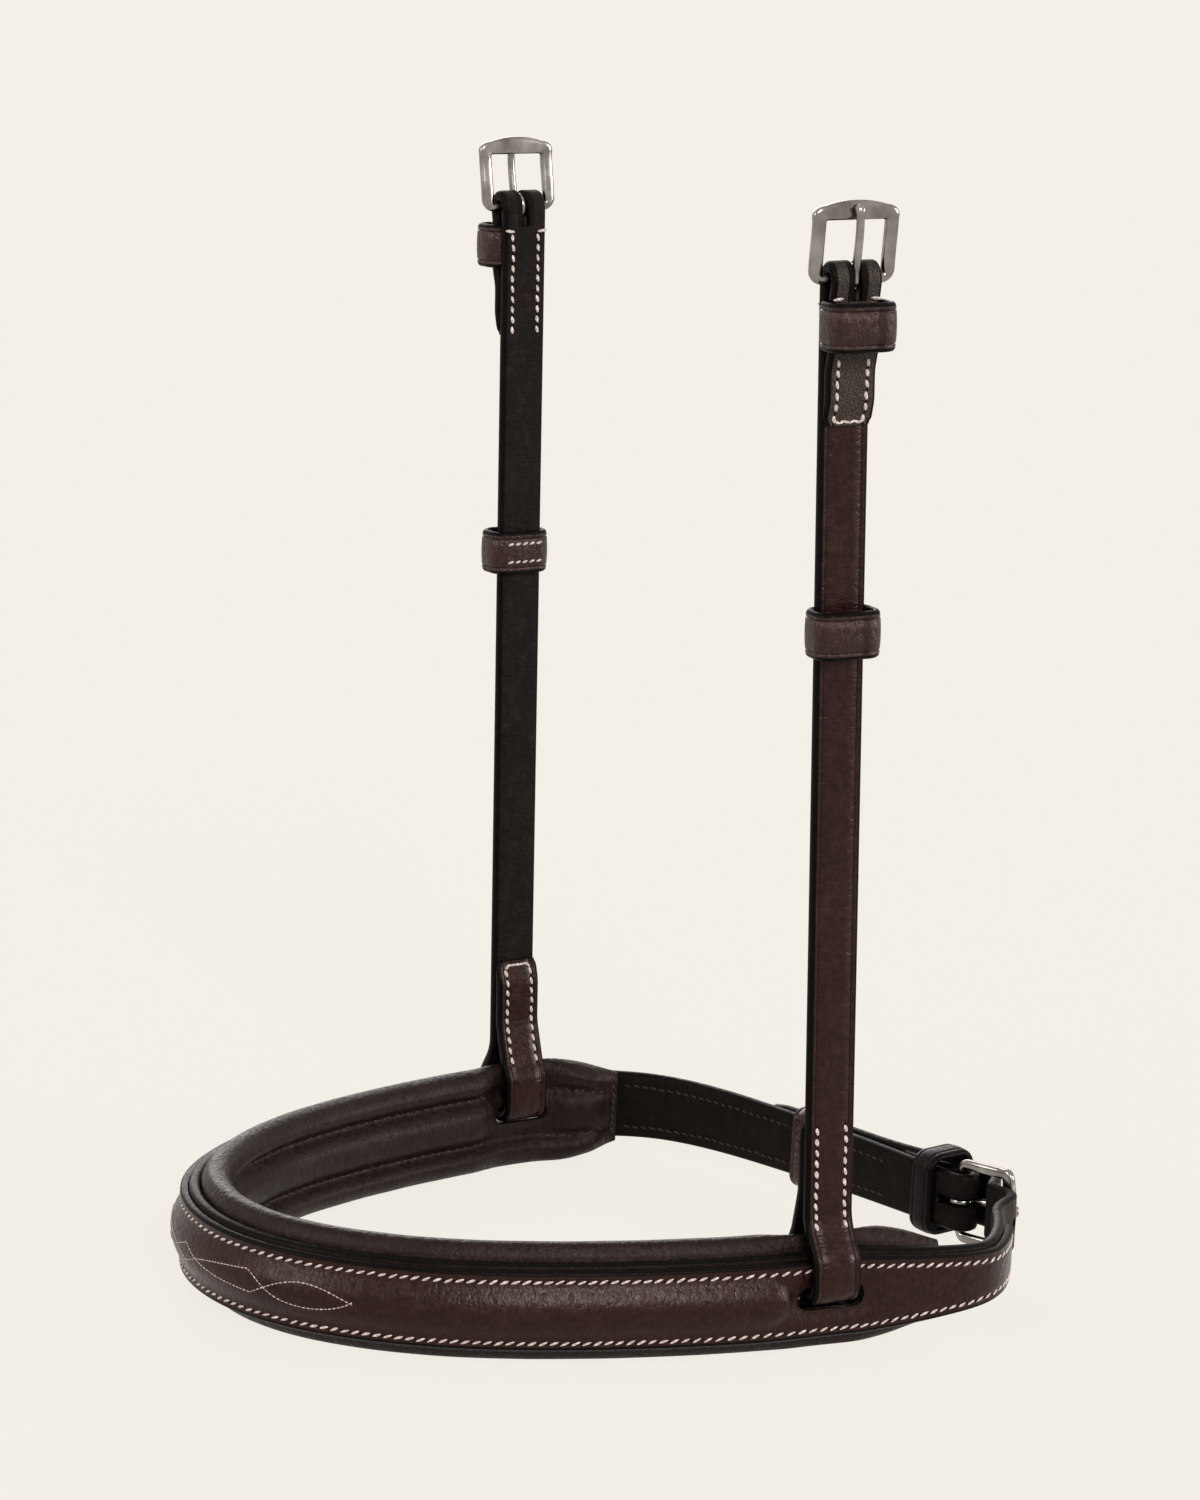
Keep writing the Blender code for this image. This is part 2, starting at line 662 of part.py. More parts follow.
def hanger_line(bar_height):
    """The hanger's middle line, outward and upward, from its lower end through the slot to its upper end."""
    inner_ply = HANGER_OUT - PLY_SPACING
    closing, leaving, rising, dropping = [share * LOOP_BEND for share in LOOP_SPREAD_SHARES]
    line = [Vector((inner_ply, LOOP_END_HEIGHT)), Vector((inner_ply, LOOP_CLOSE_HEIGHT + LOOP_BEND))]
    line += [
        Vector((inner_ply - closing, LOOP_CLOSE_HEIGHT)),
        Vector((HANGER_IN + leaving, LOOP_SHOULDER_HEIGHT + rising)),
        Vector((HANGER_IN, LOOP_SHOULDER_HEIGHT - dropping)),
    ]
    line += arc_points(Vector((HANGER_IN + LOOP_BEND, LOOP_BEND)), LOOP_BEND, 180, 270, 4)
    line += arc_points(Vector((HANGER_ON_FACE - LOOP_BEND, LOOP_BEND)), LOOP_BEND, 270, 360, 4)
    line += [
        Vector((HANGER_OUT + HANGER_DRAWS_IN * spread, mix(FACE_SHOULDER_HEIGHT, FACE_CLOSE_HEIGHT, rise)))
        for spread, rise in FACE_SPREAD_SHARES
    ]
    line += arc_points(Vector((HANGER_BAR_OUT, bar_height)), HANGER_FOLD_RADIUS, 180, 0, 8)
    keeper_top = bar_height - FIXED_KEEPER_DROP + KEEPER_WIDTH / 2
    keeper_foot = keeper_top - KEEPER_WIDTH
    line.append(Vector((HANGER_OUT + KEEPER_PLY_SPACING, keeper_top)))
    line.append(Vector((HANGER_OUT + KEEPER_PLY_SPACING, keeper_foot)))
    line.append(Vector((HANGER_OUT + PLY_SPACING, keeper_foot - HANGER_THICKNESS * PLY_SETTLE_SHARE)))
    line.append(Vector((HANGER_OUT + PLY_SPACING, bar_height - TOP_FOLD_LENGTH)))
    return line


def tongue_slot_form(seat, bar_out, bar_along, fold_radius, half_strap):
    """A slot cut through the fold, for the tongue to pass."""
    reach = fold_radius + half_strap + EASE
    rings = []
    for across in (-TONGUE_SLOT_WIDTH / 2, TONGUE_SLOT_WIDTH / 2):
        rings.append([
            seat.place(bar_out + side * (reach + EASE), across, bar_along + up)
            for side, up in ((-1, -reach), (1, -reach), (1, reach), (-1, reach))
        ])
    return loft(rings)


def keeper_form(seat, inner_faces, half_room, width, back, wall=KEEPER_THICKNESS):
    """A closed loop of leather round a strap, from where its two inner faces lie along out."""
    inside, outside = inner_faces
    middle = (inside - back / 2, outside + wall / 2)
    side = half_room + wall / 2
    corner = KEEPER_INNER_RADIUS + wall / 2
    centres = (
        (Vector((middle[1] - corner, side - corner)), 0),
        (Vector((middle[0] + corner, side - corner)), 90),
        (Vector((middle[0] + corner, -side + corner)), 180),
        (Vector((middle[1] - corner, -side + corner)), 270),
    )
    line = []
    for centre, start in centres:
        line += arc_points(centre, corner, start, start + 90, 3)
    rings = []
    for k, point in enumerate(line):
        heading = (line[(k + 1) % len(line)] - line[k - 1]).normalized()
        normal = Vector((heading.y, -heading.x))
        thickness = back if point.x < inside else wall
        outline = soft_rectangle(thickness / 2, width / 2, EDGE_SOFTNESS)
        rings.append([seat.place(*(point + normal * across), along) for across, along in outline])
    return loft(rings, closed=True)


def frame_form(seat, half_room, reach, arch, side_width):
    """A buckle frame in one piece: a round heel bar, flat sides and a wide arched end bar."""
    half_side = side_width / 2
    side = half_room + half_side
    top = FRAME_TOP_RADIUS
    heel = FRAME_HEEL_RADIUS
    half_width = FRAME_THICKNESS / 2
    corner_line = reach - (FRAME_TOP_WIDTH - FRAME_CORNER_WIDTH) / 2
    stations = []
    for across in (-half_room * HEEL_STRAIGHT_SHARE, half_room * HEEL_STRAIGHT_SHARE):
        stations.append((Vector((across, 0.0)), BAR_RADIUS, BAR_RADIUS))
    for point in arc_points(Vector((side - heel, heel)), heel, -90, 0, 3):
        share = point.y / heel
        stations.append((point, mix(BAR_RADIUS, half_side, share), mix(BAR_RADIUS, half_width, share)))
    for point in arc_points(Vector((side - top, corner_line - top)), top, 0, 90, 4):
        share = (point.y - corner_line + top) / top
        stations.append((point, mix(half_side, FRAME_CORNER_WIDTH / 2, share), half_width))
    for share in CROWN_SHARES:
        crown = smoothstep(1 - share)
        point = Vector(((side - top) * share, mix(corner_line, reach, crown)))
        stations.append((point, mix(FRAME_CORNER_WIDTH, FRAME_TOP_WIDTH, crown) / 2, half_width))
    stations.append((Vector((0.0, reach)), FRAME_TOP_WIDTH / 2, half_width))
    for point, across, thick in reversed(stations[2:-1]):
        stations.append((Vector((-point.x, point.y)), across, thick))
    rings = []
    for k, (point, across, thick) in enumerate(stations):
        ahead = stations[(k + 1) % len(stations)][0]
        heading = (ahead - stations[k - 1][0]).normalized()
        normal = Vector((heading.y, -heading.x))
        bow = arch * smoothstep(point.y / reach)
        ring = []
        for wide, out in soft_rectangle(across, thick, min(across, thick) * FRAME_EDGE_SHARE):
            place = point + normal * wide
            ring.append(seat.place(bow + out, place.x, place.y))
        rings.append(ring)
    return loft(rings, closed=True)


def tongue_line(reach, arch):
    """The middle of a tongue, outward and along, from its tip to its eye round the heel bar."""
    eye = BAR_RADIUS + GAP + TONGUE_DIAMETER / 2
    rest = arch + FRAME_THICKNESS / 2 + GAP + TONGUE_DIAMETER / 2
    line = [Vector((rest, reach + TONGUE_TIP_PAST)), Vector((rest, reach - FRAME_TOP_WIDTH / 2))]
    line.append(Vector((mix(eye, rest, TONGUE_BEND_SHARE), reach * TONGUE_BEND_SHARE)))
    return line + arc_points(Vector((0, 0)), eye, 10, -295, 12)


def tongue_form(seat, reach, arch):
    """A tongue: an eye round the heel bar and a pin that rests on the end bar."""
    radius = TONGUE_DIAMETER / 2
    line = tongue_line(reach, arch)
    rings = []
    for k, (point, (side, _)) in enumerate(zip(line, side_directions(line))):
        size = radius * (TONGUE_TIP_SHARE if k == 0 else 1.0)
        ring = []
        for turn in range(8):
            angle = math.tau * (turn + 0.5) / 8
            place = point + side * (size * math.cos(angle))
            ring.append(seat.place(place.x, place.y, size * math.sin(angle)))
        rings.append(ring)
    return loft(rings)


def turned(seat):
    """The same frame with across and along exchanged, for forms drawn from the side."""
    return Seat(seat.origin, seat.out, seat.along, seat.across)


def build_hanger(side, seat, bar_height, runner_drop):
    pivot = seat.place(SWING_OUT, 0.0, 0.0)
    line = hanger_line(bar_height)
    heights = [HANGER_WIDTH] * len(line)
    form = ribbon(
        line, heights, HANGER_THICKNESS, lambda point, across: seat.place(point.x, across, point.y)
    )
    strap = add_object(side + "_hanger_strap", form, HAVANA_LEATHER, pivot)
    bar = seat.moved(out=HANGER_BAR_OUT, along=bar_height)
    slot = tongue_slot_form(seat, HANGER_BAR_OUT, bar_height, HANGER_FOLD_RADIUS, HALF_HANGER)
    cut(strap, side + "_tongue_slot_cutter", slot)

    fixed = seat.moved(along=bar_height - FIXED_KEEPER_DROP)
    back_face = HANGER_OUT + HALF_HANGER + GAP + KEEPER_BACK_THICKNESS
    front_face = HANGER_OUT + KEEPER_PLY_SPACING + HALF_HANGER + KEEPER_ROOM
    form = keeper_form(fixed, (back_face, front_face), HALF_ROOM, KEEPER_WIDTH, KEEPER_BACK_THICKNESS)
    add_object(side + "_fixed_keeper", form, HAVANA_LEATHER, pivot)

    sliding = seat.moved(along=bar_height - runner_drop)
    back_face = HANGER_OUT - HALF_HANGER - EASE
    front_face = HANGER_OUT + HALF_HANGER + KEEPER_ROOM
    form = keeper_form(sliding, (back_face, front_face), HALF_ROOM, KEEPER_WIDTH, KEEPER_THICKNESS)
    add_object(side + "_runner", form, HAVANA_LEATHER, sliding.place(HANGER_OUT, 0.0, 0.0))

    form = frame_form(bar, HANGER_WIDTH / 2 + FRAME_ROOM, FRAME_REACH, FRAME_ARCH, FRAME_SIDE_WIDTH)
    add_object(side + "_buckle_frame", form, STAINLESS, bar.origin)
    form = tongue_form(turned(bar), FRAME_REACH, FRAME_ARCH)
    add_object(side + "_buckle_tongue", form, STAINLESS, bar.origin)


# Chin closure
def flat_seat(place, along, out):
    """A frame on the band: along its line, out from it, and up."""
    return Seat(
        Vector((place.x, place.y, BAND_MIDDLE)),
        Vector((out.x, out.y, 0)),
        Vector((0, 0, 1)),
        Vector((along.x, along.y, 0)),
    )


def band_seat(arc):
    heading = band.heading(arc)
    return flat_seat(band.place(arc), heading, Vector((heading.y, -heading.x)))


def bore_form(form, start, end, diameter):
    """A round bore between two places, added to a cutter's form."""
    way = end - start
    turn = way.to_track_quat("Z", "Y").to_matrix().to_4x4()
    matrix = Matrix.Translation((start + end) / 2) @ turn
    radius = diameter / 2
    bmesh.ops.create_cone(
        form, cap_ends=True, segments=10, radius1=radius, radius2=radius, depth=way.length, matrix=matrix
    )


def build_chin(strap):
    bar = flat_seat(CHIN_BAR, CHIN_ALONG, CHIN_OUT)
    cut(strap, "chin_tongue_slot_cutter", tongue_slot_form(bar, 0.0, 0.0, FOLD_RADIUS, HALF_STRAP))

    rest, bend = tongue_line(CHIN_FRAME_REACH, CHIN_FRAME_ARCH)[1:3]
    holes = bmesh.new()
    bore_form(holes, bar.place(bend.x, 0, bend.y), bar.place(rest.x, 0, rest.y), HOLE_DIAMETER)
    used = first_line.length - CHIN_FRAME_REACH * USED_HOLE_SHARE
    for step in HOLE_STEPS:
        arc = used + step * HOLE_SPACING
        ends = [band_place(arc, side * (HALF_STRAP + EASE), 0.0) for side in (-1, 1)]
        bore_form(holes, *ends, HOLE_DIAMETER)
    cut(strap, "billet_holes_cutter", holes)

    keeper_place = FOLD_OUTSIDE + CHIN_KEEPER_GAP + CHIN_KEEPER_WIDTH / 2
    half_room = BILLET_HEIGHT / 2 + 2 * EASE
    faces = (-HALF_STRAP - EASE, billet_out(keeper_place) + HALF_STRAP + EASE)
    form = keeper_form(band_seat(keeper_place), faces, half_room, CHIN_KEEPER_WIDTH, KEEPER_THICKNESS)
    add_object("chin_fixed_keeper", form, BLACK_LEATHER)

    runner = band_seat(CHIN_RUNNER_PLACE)
    half_room = strap_height(CHIN_RUNNER_PLACE) / 2 + 2 * EASE
    faces = (-HALF_STRAP - 2 * EASE, BILLET_ON_FACE + HALF_STRAP + 2 * EASE)
    form = keeper_form(runner, faces, half_room, CHIN_RUNNER_WIDTH, KEEPER_THICKNESS)
    add_object("chin_runner", form, HAVANA_LEATHER, runner.origin)

    half_room = BILLET_HEIGHT / 2 + CHIN_FRAME_ROOM
    form = frame_form(bar, half_room, CHIN_FRAME_REACH, CHIN_FRAME_ARCH, CHIN_FRAME_SIDE_WIDTH)
    add_object("chin_buckle_frame", form, STAINLESS, bar.origin)
    form = tongue_form(turned(bar), CHIN_FRAME_REACH, CHIN_FRAME_ARCH)
    add_object("chin_buckle_tongue", form, STAINLESS, bar.origin)


strap = build_band()
build_hanger("near", hanger_seat(NEAR_HANGER, 1, NEAR_HANGER_LEAN), NEAR_BAR_HEIGHT, NEAR_RUNNER_DROP)
build_hanger("off", hanger_seat(OFF_HANGER, -1, OFF_HANGER_LEAN), OFF_BAR_HEIGHT, OFF_RUNNER_DROP)
build_chin(strap)
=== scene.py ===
"""The looks of the hunter noseband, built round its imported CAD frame. Metres, nose towards -Y."""

import math

import bmesh
import bpy
import numpy as np
from mathutils import Matrix, Vector


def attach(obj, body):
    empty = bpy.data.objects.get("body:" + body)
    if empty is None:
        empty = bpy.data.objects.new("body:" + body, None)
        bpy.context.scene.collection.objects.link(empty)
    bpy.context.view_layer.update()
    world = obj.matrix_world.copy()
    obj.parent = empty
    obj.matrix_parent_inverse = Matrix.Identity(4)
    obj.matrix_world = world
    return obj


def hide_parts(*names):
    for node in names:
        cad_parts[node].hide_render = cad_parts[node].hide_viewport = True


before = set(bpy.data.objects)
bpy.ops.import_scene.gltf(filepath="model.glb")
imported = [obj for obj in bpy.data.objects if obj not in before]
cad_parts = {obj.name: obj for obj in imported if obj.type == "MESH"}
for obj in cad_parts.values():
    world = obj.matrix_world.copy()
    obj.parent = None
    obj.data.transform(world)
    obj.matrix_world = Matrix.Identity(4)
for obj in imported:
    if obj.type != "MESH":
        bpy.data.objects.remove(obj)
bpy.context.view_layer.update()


# Main strap: one length of 23 mm bridle leather, cut by hand with a strap knife. Its end is turned round
# the chin bar and sewn down, and the other end is the billet, skived to a point and punched for the tongue.
# The plan line of its middle, in mm, from the chin bar along the off side, round the nose and back
BAND_PLAN = (
    (32.19, 97.30), (0.00, 89.60), (-36.02, 78.94), (-59.16, 69.94), (-73.95, 59.50), (-82.04, 45.46),
    (-84.83, 29.26), (-84.04, 14.25), (-81.17, -3.17), (-76.47, -22.15), (-70.04, -41.65), (-60.47, -62.71),
    (-46.54, -82.21), (-25.49, -98.72), (0.00, -104.70), (25.49, -98.72), (46.54, -82.21), (60.47, -62.71),
    (70.04, -41.65), (76.47, -22.15), (81.17, -3.17), (84.04, 14.25), (84.83, 29.26), (86.39, 45.46),
    (87.00, 61.30), (84.56, 74.26), (77.00, 82.90), (66.99, 89.74), (57.42, 96.22), (49.77, 103.77),
    (46.75, 103.05), (43.53, 102.51), (37.87, 106.86), (33.84, 107.72), (30.05, 106.66), (20.36, 104.07),
    (10.92, 100.21), (1.50, 96.24), (-8.18, 93.30), (-17.89, 90.54), (-27.54, 87.62), (-37.15, 84.57),
    (-46.78, 81.30),
)
BAND_MIDDLE = 0.015
OFF_HANGER, NEAR_HANGER = 0.15640, 0.49218
PAD_START, PAD_END = 0.12390, 0.52468
HALF_STRAP = 0.0015
STRAP_HEIGHTS = (
    (0.0, 0.016), (PAD_START, 0.0195), (0.14715, 0.023), (0.50143, 0.023), (0.54098, 0.016), (0.6788, 0.016),
)
TIP_HEIGHTS = ((0.0, 1.0), (0.45, 0.93), (0.75, 0.74), (0.92, 0.48), (1.0, 0.2))
TIP_LENGTH = 0.009
TURNED_LENGTH = 0.022
CHIN_BAR = Vector((0.0314685, 0.1003149))
CHIN_ALONG, CHIN_OUT = Vector((0.9725352, 0.2327558)), Vector((-0.2327558, 0.9725352))
CHIN_FOLD = 0.0031
HOLES = (0.5811, 0.6171, 0.6351, 0.6531)
HOLE_DIAMETER, USED_HOLE_DIAMETER = 0.0034, 0.0039
PUNCHED = 0.0025
# Where the tongue enters and leaves the used hole, and the slit for its eye, by the chin bar's frame
PIN_ENTERS, PIN_LEAVES = (0.0054, 0.0034), (0.0132, 0.0049)
EYE_SLIT = (0.0100, 0.0108, 0.0025, 1)
SLOT_LENGTH, SLOT_HEIGHT = 0.0185, 0.0060
THROUGH = 0.03
STRAP_STEP, TURNED_STEP, SKIVED_RUN = 0.0012, 0.001, 0.008
EDGE_TURN, CREASE_LINES = 0.0010, ((0.0016, 0.5), (0.0019, 0.55), (0.0022, 0.6))


def smooth(share):
    """A share eased at both ends."""
    share = np.clip(share, 0.0, 1.0)
    return share * share * (3 - 2 * share)


def read(table, value):
    """The second number of a table's rows, read off at a value of the first."""
    return float(np.interp(value, *zip(*table)))


def natural_line(points, steps=40):
    """Close points on the natural cubic curve through plan points."""
    points = np.array(points, float)
    spans = np.linalg.norm(np.diff(points, axis=0), axis=1)
    system, known = np.eye(len(points)), np.zeros((len(points), 2))
    for k in range(1, len(points) - 1):
        system[k, k - 1 : k + 2] = spans[k - 1], 2 * (spans[k - 1] + spans[k]), spans[k]
        known[k] = 6 * ((points[k + 1] - points[k]) / spans[k] - (points[k] - points[k - 1]) / spans[k - 1])
    bends = np.linalg.solve(system, known)
    line = []
    for k, span in enumerate(spans):
        for share in np.linspace(0, 1, steps, endpoint=False):
            left = 1 - share
            curve = (left**3 - left) * bends[k] + (share**3 - share) * bends[k + 1]
            line.append(left * points[k] + share * points[k + 1] + curve * span**2 / 6)
    return np.array([*line, points[-1]])


def lengths_along(line):
    """The length up to each point of a line."""
    return np.concatenate(([0.0], np.cumsum(np.linalg.norm(np.diff(line, axis=0), axis=1))))


band_line = natural_line(np.array(BAND_PLAN) / 1000)
band_arcs = lengths_along(band_line)
band_ways = np.gradient(band_line, band_arcs, axis=0)
band_length = float(band_arcs[-1])


def point_at(arc, arcs, line):
    """The point of a line at a length along it."""
    return [float(np.interp(arc, arcs, column)) for column in line.T]


def band_way(arc):
    """The way along the band at a length from the chin bar."""
    return Vector(point_at(arc, band_arcs, band_ways)).normalized()


def on_band(arc, out, rise):
    """A place on the band: outward from the middle of the main strap, and up from its middle line."""
    way = band_way(arc)
    x, y = point_at(arc, band_arcs, band_line)
    return Vector((x + way.y * out, y - way.x * out, BAND_MIDDLE + rise))


def seat(origin, first, second, third):
    """A matrix that seats what is drawn along x, y and z at an origin, along these three ways."""
    turn = Matrix((Vector(first), Vector(second), Vector(third))).transposed().to_4x4()
    return Matrix.Translation(Vector(origin)) @ turn


def skin(name, place, rows, columns, materials, zones=None, closed=False):
    """A flat grid bent into a tube: place gives each corner's point and its lay on the leather."""
    form = bmesh.new()
    lay = form.verts.layers.float_vector.new("lay")
    last = rows if closed else rows - 1
    bmesh.ops.create_grid(form, x_segments=last, y_segments=columns, size=0.5)
    for face in form.faces:
        column = int((face.calc_center_median().y + 0.5) * columns)
        face.material_index = zones[column] if zones else 0
    for vert in form.verts:
        row, column = round((vert.co.x + 0.5) * last), round((vert.co.y + 0.5) * columns)
        vert.co, vert[lay] = place(row % rows, column % columns)
    bmesh.ops.remove_doubles(form, verts=form.verts, dist=1e-7)
    ends = [edge for edge in form.edges if edge.is_boundary]
    if ends:
        for face in bmesh.ops.holes_fill(form, edges=ends, sides=0)["faces"]:
            face.material_index = zones[len(zones) // 2] if zones else 0
    return finished(name, form, materials)


def finished(name, form, materials):
    """The form made a piece, smooth but for its sharp edges."""
    bmesh.ops.recalc_face_normals(form, faces=form.faces)
    mesh = bpy.data.meshes.new(name)
    form.to_mesh(mesh)
    form.free()
    for material in materials:
        mesh.materials.append(material)
    mesh.shade_smooth()
    mesh.set_sharp_from_angle(angle=math.radians(50))
    piece = bpy.data.objects.new(name, mesh)
    bpy.context.scene.collection.objects.link(piece)
    return piece


def cut_away(piece, form):
    """Cuts a closed form out of a piece. The walls of the cut get the finish of its edges."""
    cutter = finished("cutter", form, [])
    cutter.data.materials.append(list(piece.data.materials[:2])[-1])
    modifier = piece.modifiers.new("cut", "BOOLEAN")
    modifier.solver = "EXACT"
    modifier.object = cutter
    graph = bpy.context.evaluated_depsgraph_get()
    mesh = bpy.data.meshes.new_from_object(piece.evaluated_get(graph))
    piece.modifiers.clear()
    piece.data = mesh
    bpy.data.objects.remove(cutter)


def strap_section(half, inside, outside, crease=0.00016):
    """The outline of a strap with dressed round edges and a creased line inside each, and its finishes."""
    middle, deep = (inside + outside) / 2, (outside - inside) / 2
    turn = min(EDGE_TURN, half * 0.3)
    reach = half - turn
    line = [min(inset, half * share) for inset, share in CREASE_LINES]
    face = [(outside, reach), (outside, half - line[0]), (outside - crease, half - line[1])]
    face += [(outside, half - line[2]), (outside, half * 0.3), (outside, 0.0)]
    face += [(out, -rise) for out, rise in reversed(face[:-1])]
    edge = [math.radians(angle) for angle in (60, 30, 0, -30, -60)]
    foot = [(middle + deep * math.sin(angle), -reach - turn * math.cos(angle)) for angle in edge]
    back = [(inside, -reach), (inside, -half * 0.4), (inside, half * 0.4), (inside, reach)]
    top = [(out, -rise) for out, rise in reversed(foot)]
    zones = [0] * 10 + [1] * 6 + [2] * 3 + [1] * 6
    return face + foot + back + top, zones


def wire(tree, node, inputs):
    """Sets each input of a node to its value, or links it to its socket."""
    for name, value in inputs.items():
        if isinstance(value, bpy.types.NodeSocket):
            tree.links.new(value, node.inputs[name])
        else:
            node.inputs[name].default_value = value


def added(tree, kind, inputs, **settings):
    """A new node of this kind with its settings and inputs."""
    node = tree.nodes.new("ShaderNode" + kind)
    for name, value in settings.items():
        setattr(node, name, value)
    wire(tree, node, inputs)
    return node


def new_finish(name):
    """A material, its node tree and shader, and the piece's own lay that its patterns follow."""
    material = bpy.data.materials.new(name)
    material.use_nodes = True
    tree = material.node_tree
    lay = added(tree, "Attribute", {}, attribute_name="lay")
    return material, tree, tree.nodes["Principled BSDF"], lay.outputs["Vector"]


def toned(colour, share):
    return tuple(value * share for value in colour)


def mixed(tree, factor, first, second):
    """A blend of two colours, each a colour or a socket."""
    first, second = ((*value, 1.0) if isinstance(value, tuple) else value for value in (first, second))
    return added(tree, "Mix", {"Factor": factor, 6: first, 7: second}, data_type="RGBA").outputs[2]


def noise(tree, source, scale, detail, stretch=(1, 1, 1), low=0.35, high=0.65):
    """A noise along the leather's own lay, spread between 0 and 1 from low to high."""
    lay = added(tree, "Mapping", {"Vector": source, "Scale": stretch}).outputs["Vector"]
    grain = added(tree, "TexNoise", {"Vector": lay, "Scale": scale, "Detail": detail}).outputs["Fac"]
    return added(tree, "MapRange", {"Value": grain, "From Min": low, "From Max": high}).outputs["Result"]


def bumped(tree, height, distance, strength, under=None):
    """Fine relief in the finish, on top of the relief under it."""
    relief = {"Strength": strength, "Distance": distance, "Height": height}
    if under:
        relief["Normal"] = under
    return added(tree, "Bump", relief).outputs["Normal"]


def ranged(tree, value, low, high):
    """A pattern between 0 and 1 spread from low to high."""
    return added(tree, "MapRange", {"Value": value, "To Min": low, "To Max": high}).outputs["Result"]


def leather(
    name, dark, light, rough, shine=0.25, grain=0.5, creases=0.35, pores=0.4, painted_light_past=None
):
    """Dressed leather: hair pores, a soft grain and fine creases across the strap, waxed and worn. Given a
    start along its lay, it is painted much lighter from there on, with a speckle: painted light.
    """
    material, tree, shader, source = new_finish(name)
    patches = noise(tree, source, 55, 4, (1, 1.6, 1), 0.32, 0.68)
    fibres = noise(tree, source, 1000, 4, (1, 0.6, 1), 0.32, 0.68)
    wrinkles = noise(tree, source, 640, 4, (1, 0.14, 1), 0.44, 0.66)
    # Lighter rubbed spots: partly wear, and partly a painted sheen.
    rubbed_and_sheen = noise(tree, source, 300, 5, (1, 1.6, 1), 0.52, 0.74)
    pits = added(tree, "TexVoronoi", {"Vector": source, "Scale": 1900}).outputs["Distance"]
    shades = mixed(tree, patches, dark, light)
    worn = mixed(tree, fibres, toned(dark, 0.60), shades)
    colour = mixed(tree, rubbed_and_sheen, worn, toned(light, 1.15))
    # Painted light: from the given start along the lay, the colour turns to a speckled mix of far lighter
    # tones, where the hanger's fold faces the lamps.
    if painted_light_past:
        along = added(tree, "SeparateXYZ", {"Vector": source}).outputs["X"]
        run = {"Value": along, "From Min": painted_light_past, "From Max": painted_light_past + 0.004}
        flesh_speckle = noise(tree, source, 2600, 3, (1, 1, 1), 0.42, 0.66)
        speckled_painted_light = mixed(tree, flesh_speckle, toned(light, 1.8), toned(light, 7.5))
        colour = mixed(tree, added(tree, "MapRange", run).outputs["Result"], colour, speckled_painted_light)
    surface = bumped(tree, fibres, 0.00014, grain)
    surface = bumped(tree, wrinkles, 0.00016, creases, surface)
    surface = bumped(tree, pits, 0.00008, pores, surface)
    dull = ranged(tree, fibres, rough - 0.10, rough + 0.12)
    wire(tree, shader, {"Base Color": colour, "Roughness": dull, "Normal": surface})
    wire(tree, shader, {"Specular IOR Level": shine, "Specular Tint": (1.0, 0.84, 0.78, 1.0)})
    return material


STRAP_GRAIN = leather("strap_grain", (0.0150, 0.0068, 0.0055), (0.0240, 0.0110, 0.0090), 0.46, 0.14)
EDGE = leather("dressed_edge", (0.0012, 0.0010, 0.0009), (0.0026, 0.0021, 0.0019), 0.42, 0.07, 0.2, 0.1, 0.1)
FLESH = leather("flesh_side", (0.0034, 0.0026, 0.0022), (0.0078, 0.0062, 0.0053), 0.66, 0.09, 0.9, 0.2, 0.7)


def ways_along(path):
    """The way at each point of an open line."""
    ways = np.gradient(path, axis=0)
    return ways / np.linalg.norm(ways, axis=1)[:, None]


def beside(path, ways, row, out):
    """The point at a distance to the right of a line's point."""
    return path[row] + np.array((ways[row][1], -ways[row][0])) * out


def ribbon(name, path, section, put, materials):
    """A strap along close points, with its own outline at each. put turns a corner into its place."""
    arcs, ways = lengths_along(path), ways_along(path)
    outlines = [section(arc, arcs[-1]) for arc in arcs]

    def place(row, column):
        out, across = outlines[row][0][column]
        return put(*beside(path, ways, row, out), across), Vector((arcs[row], across, out))

    return skin(name, place, len(path), len(outlines[0][0]), materials, outlines[0][1])


turned = []
for arc in np.arange(TURNED_LENGTH, TURNED_STEP / 2, -TURNED_STEP):
    apart = 2 * CHIN_FOLD + (2 * HALF_STRAP + 0.0003 - 2 * CHIN_FOLD) * smooth(1.4 * arc / TURNED_LENGTH)
    turned.append(on_band(arc, apart, 0)[:2])
turn = math.atan2(CHIN_OUT.y, CHIN_OUT.x)
for angle in np.linspace(0, math.pi, 25):
    turned.append((CHIN_BAR + CHIN_FOLD * Vector((math.cos(turn - angle), math.sin(turn - angle))))[:])
folded_length = float(lengths_along(np.array(turned))[-1])
run = [on_band(arc, 0, 0)[:2] for arc in np.arange(STRAP_STEP, band_length, STRAP_STEP)]


def main_section(arc, length):
    """The main strap's outline, with its skived turned end and its pointed billet."""
    along = arc - folded_length
    tip = read(TIP_HEIGHTS, (along - band_length + TIP_LENGTH) / TIP_LENGTH)
    half = read(STRAP_HEIGHTS, along) / 2 * tip
    skived = HALF_STRAP * (0.3 + 0.7 * smooth(arc / SKIVED_RUN))
    return strap_section(half, -skived if along < 0 else -HALF_STRAP, HALF_STRAP)


def on_plan(x, y, rise):
    return Vector((x, y, BAND_MIDDLE + rise))


strap = ribbon("strap", np.array(turned + run), main_section, on_plan, [STRAP_GRAIN, EDGE, FLESH])


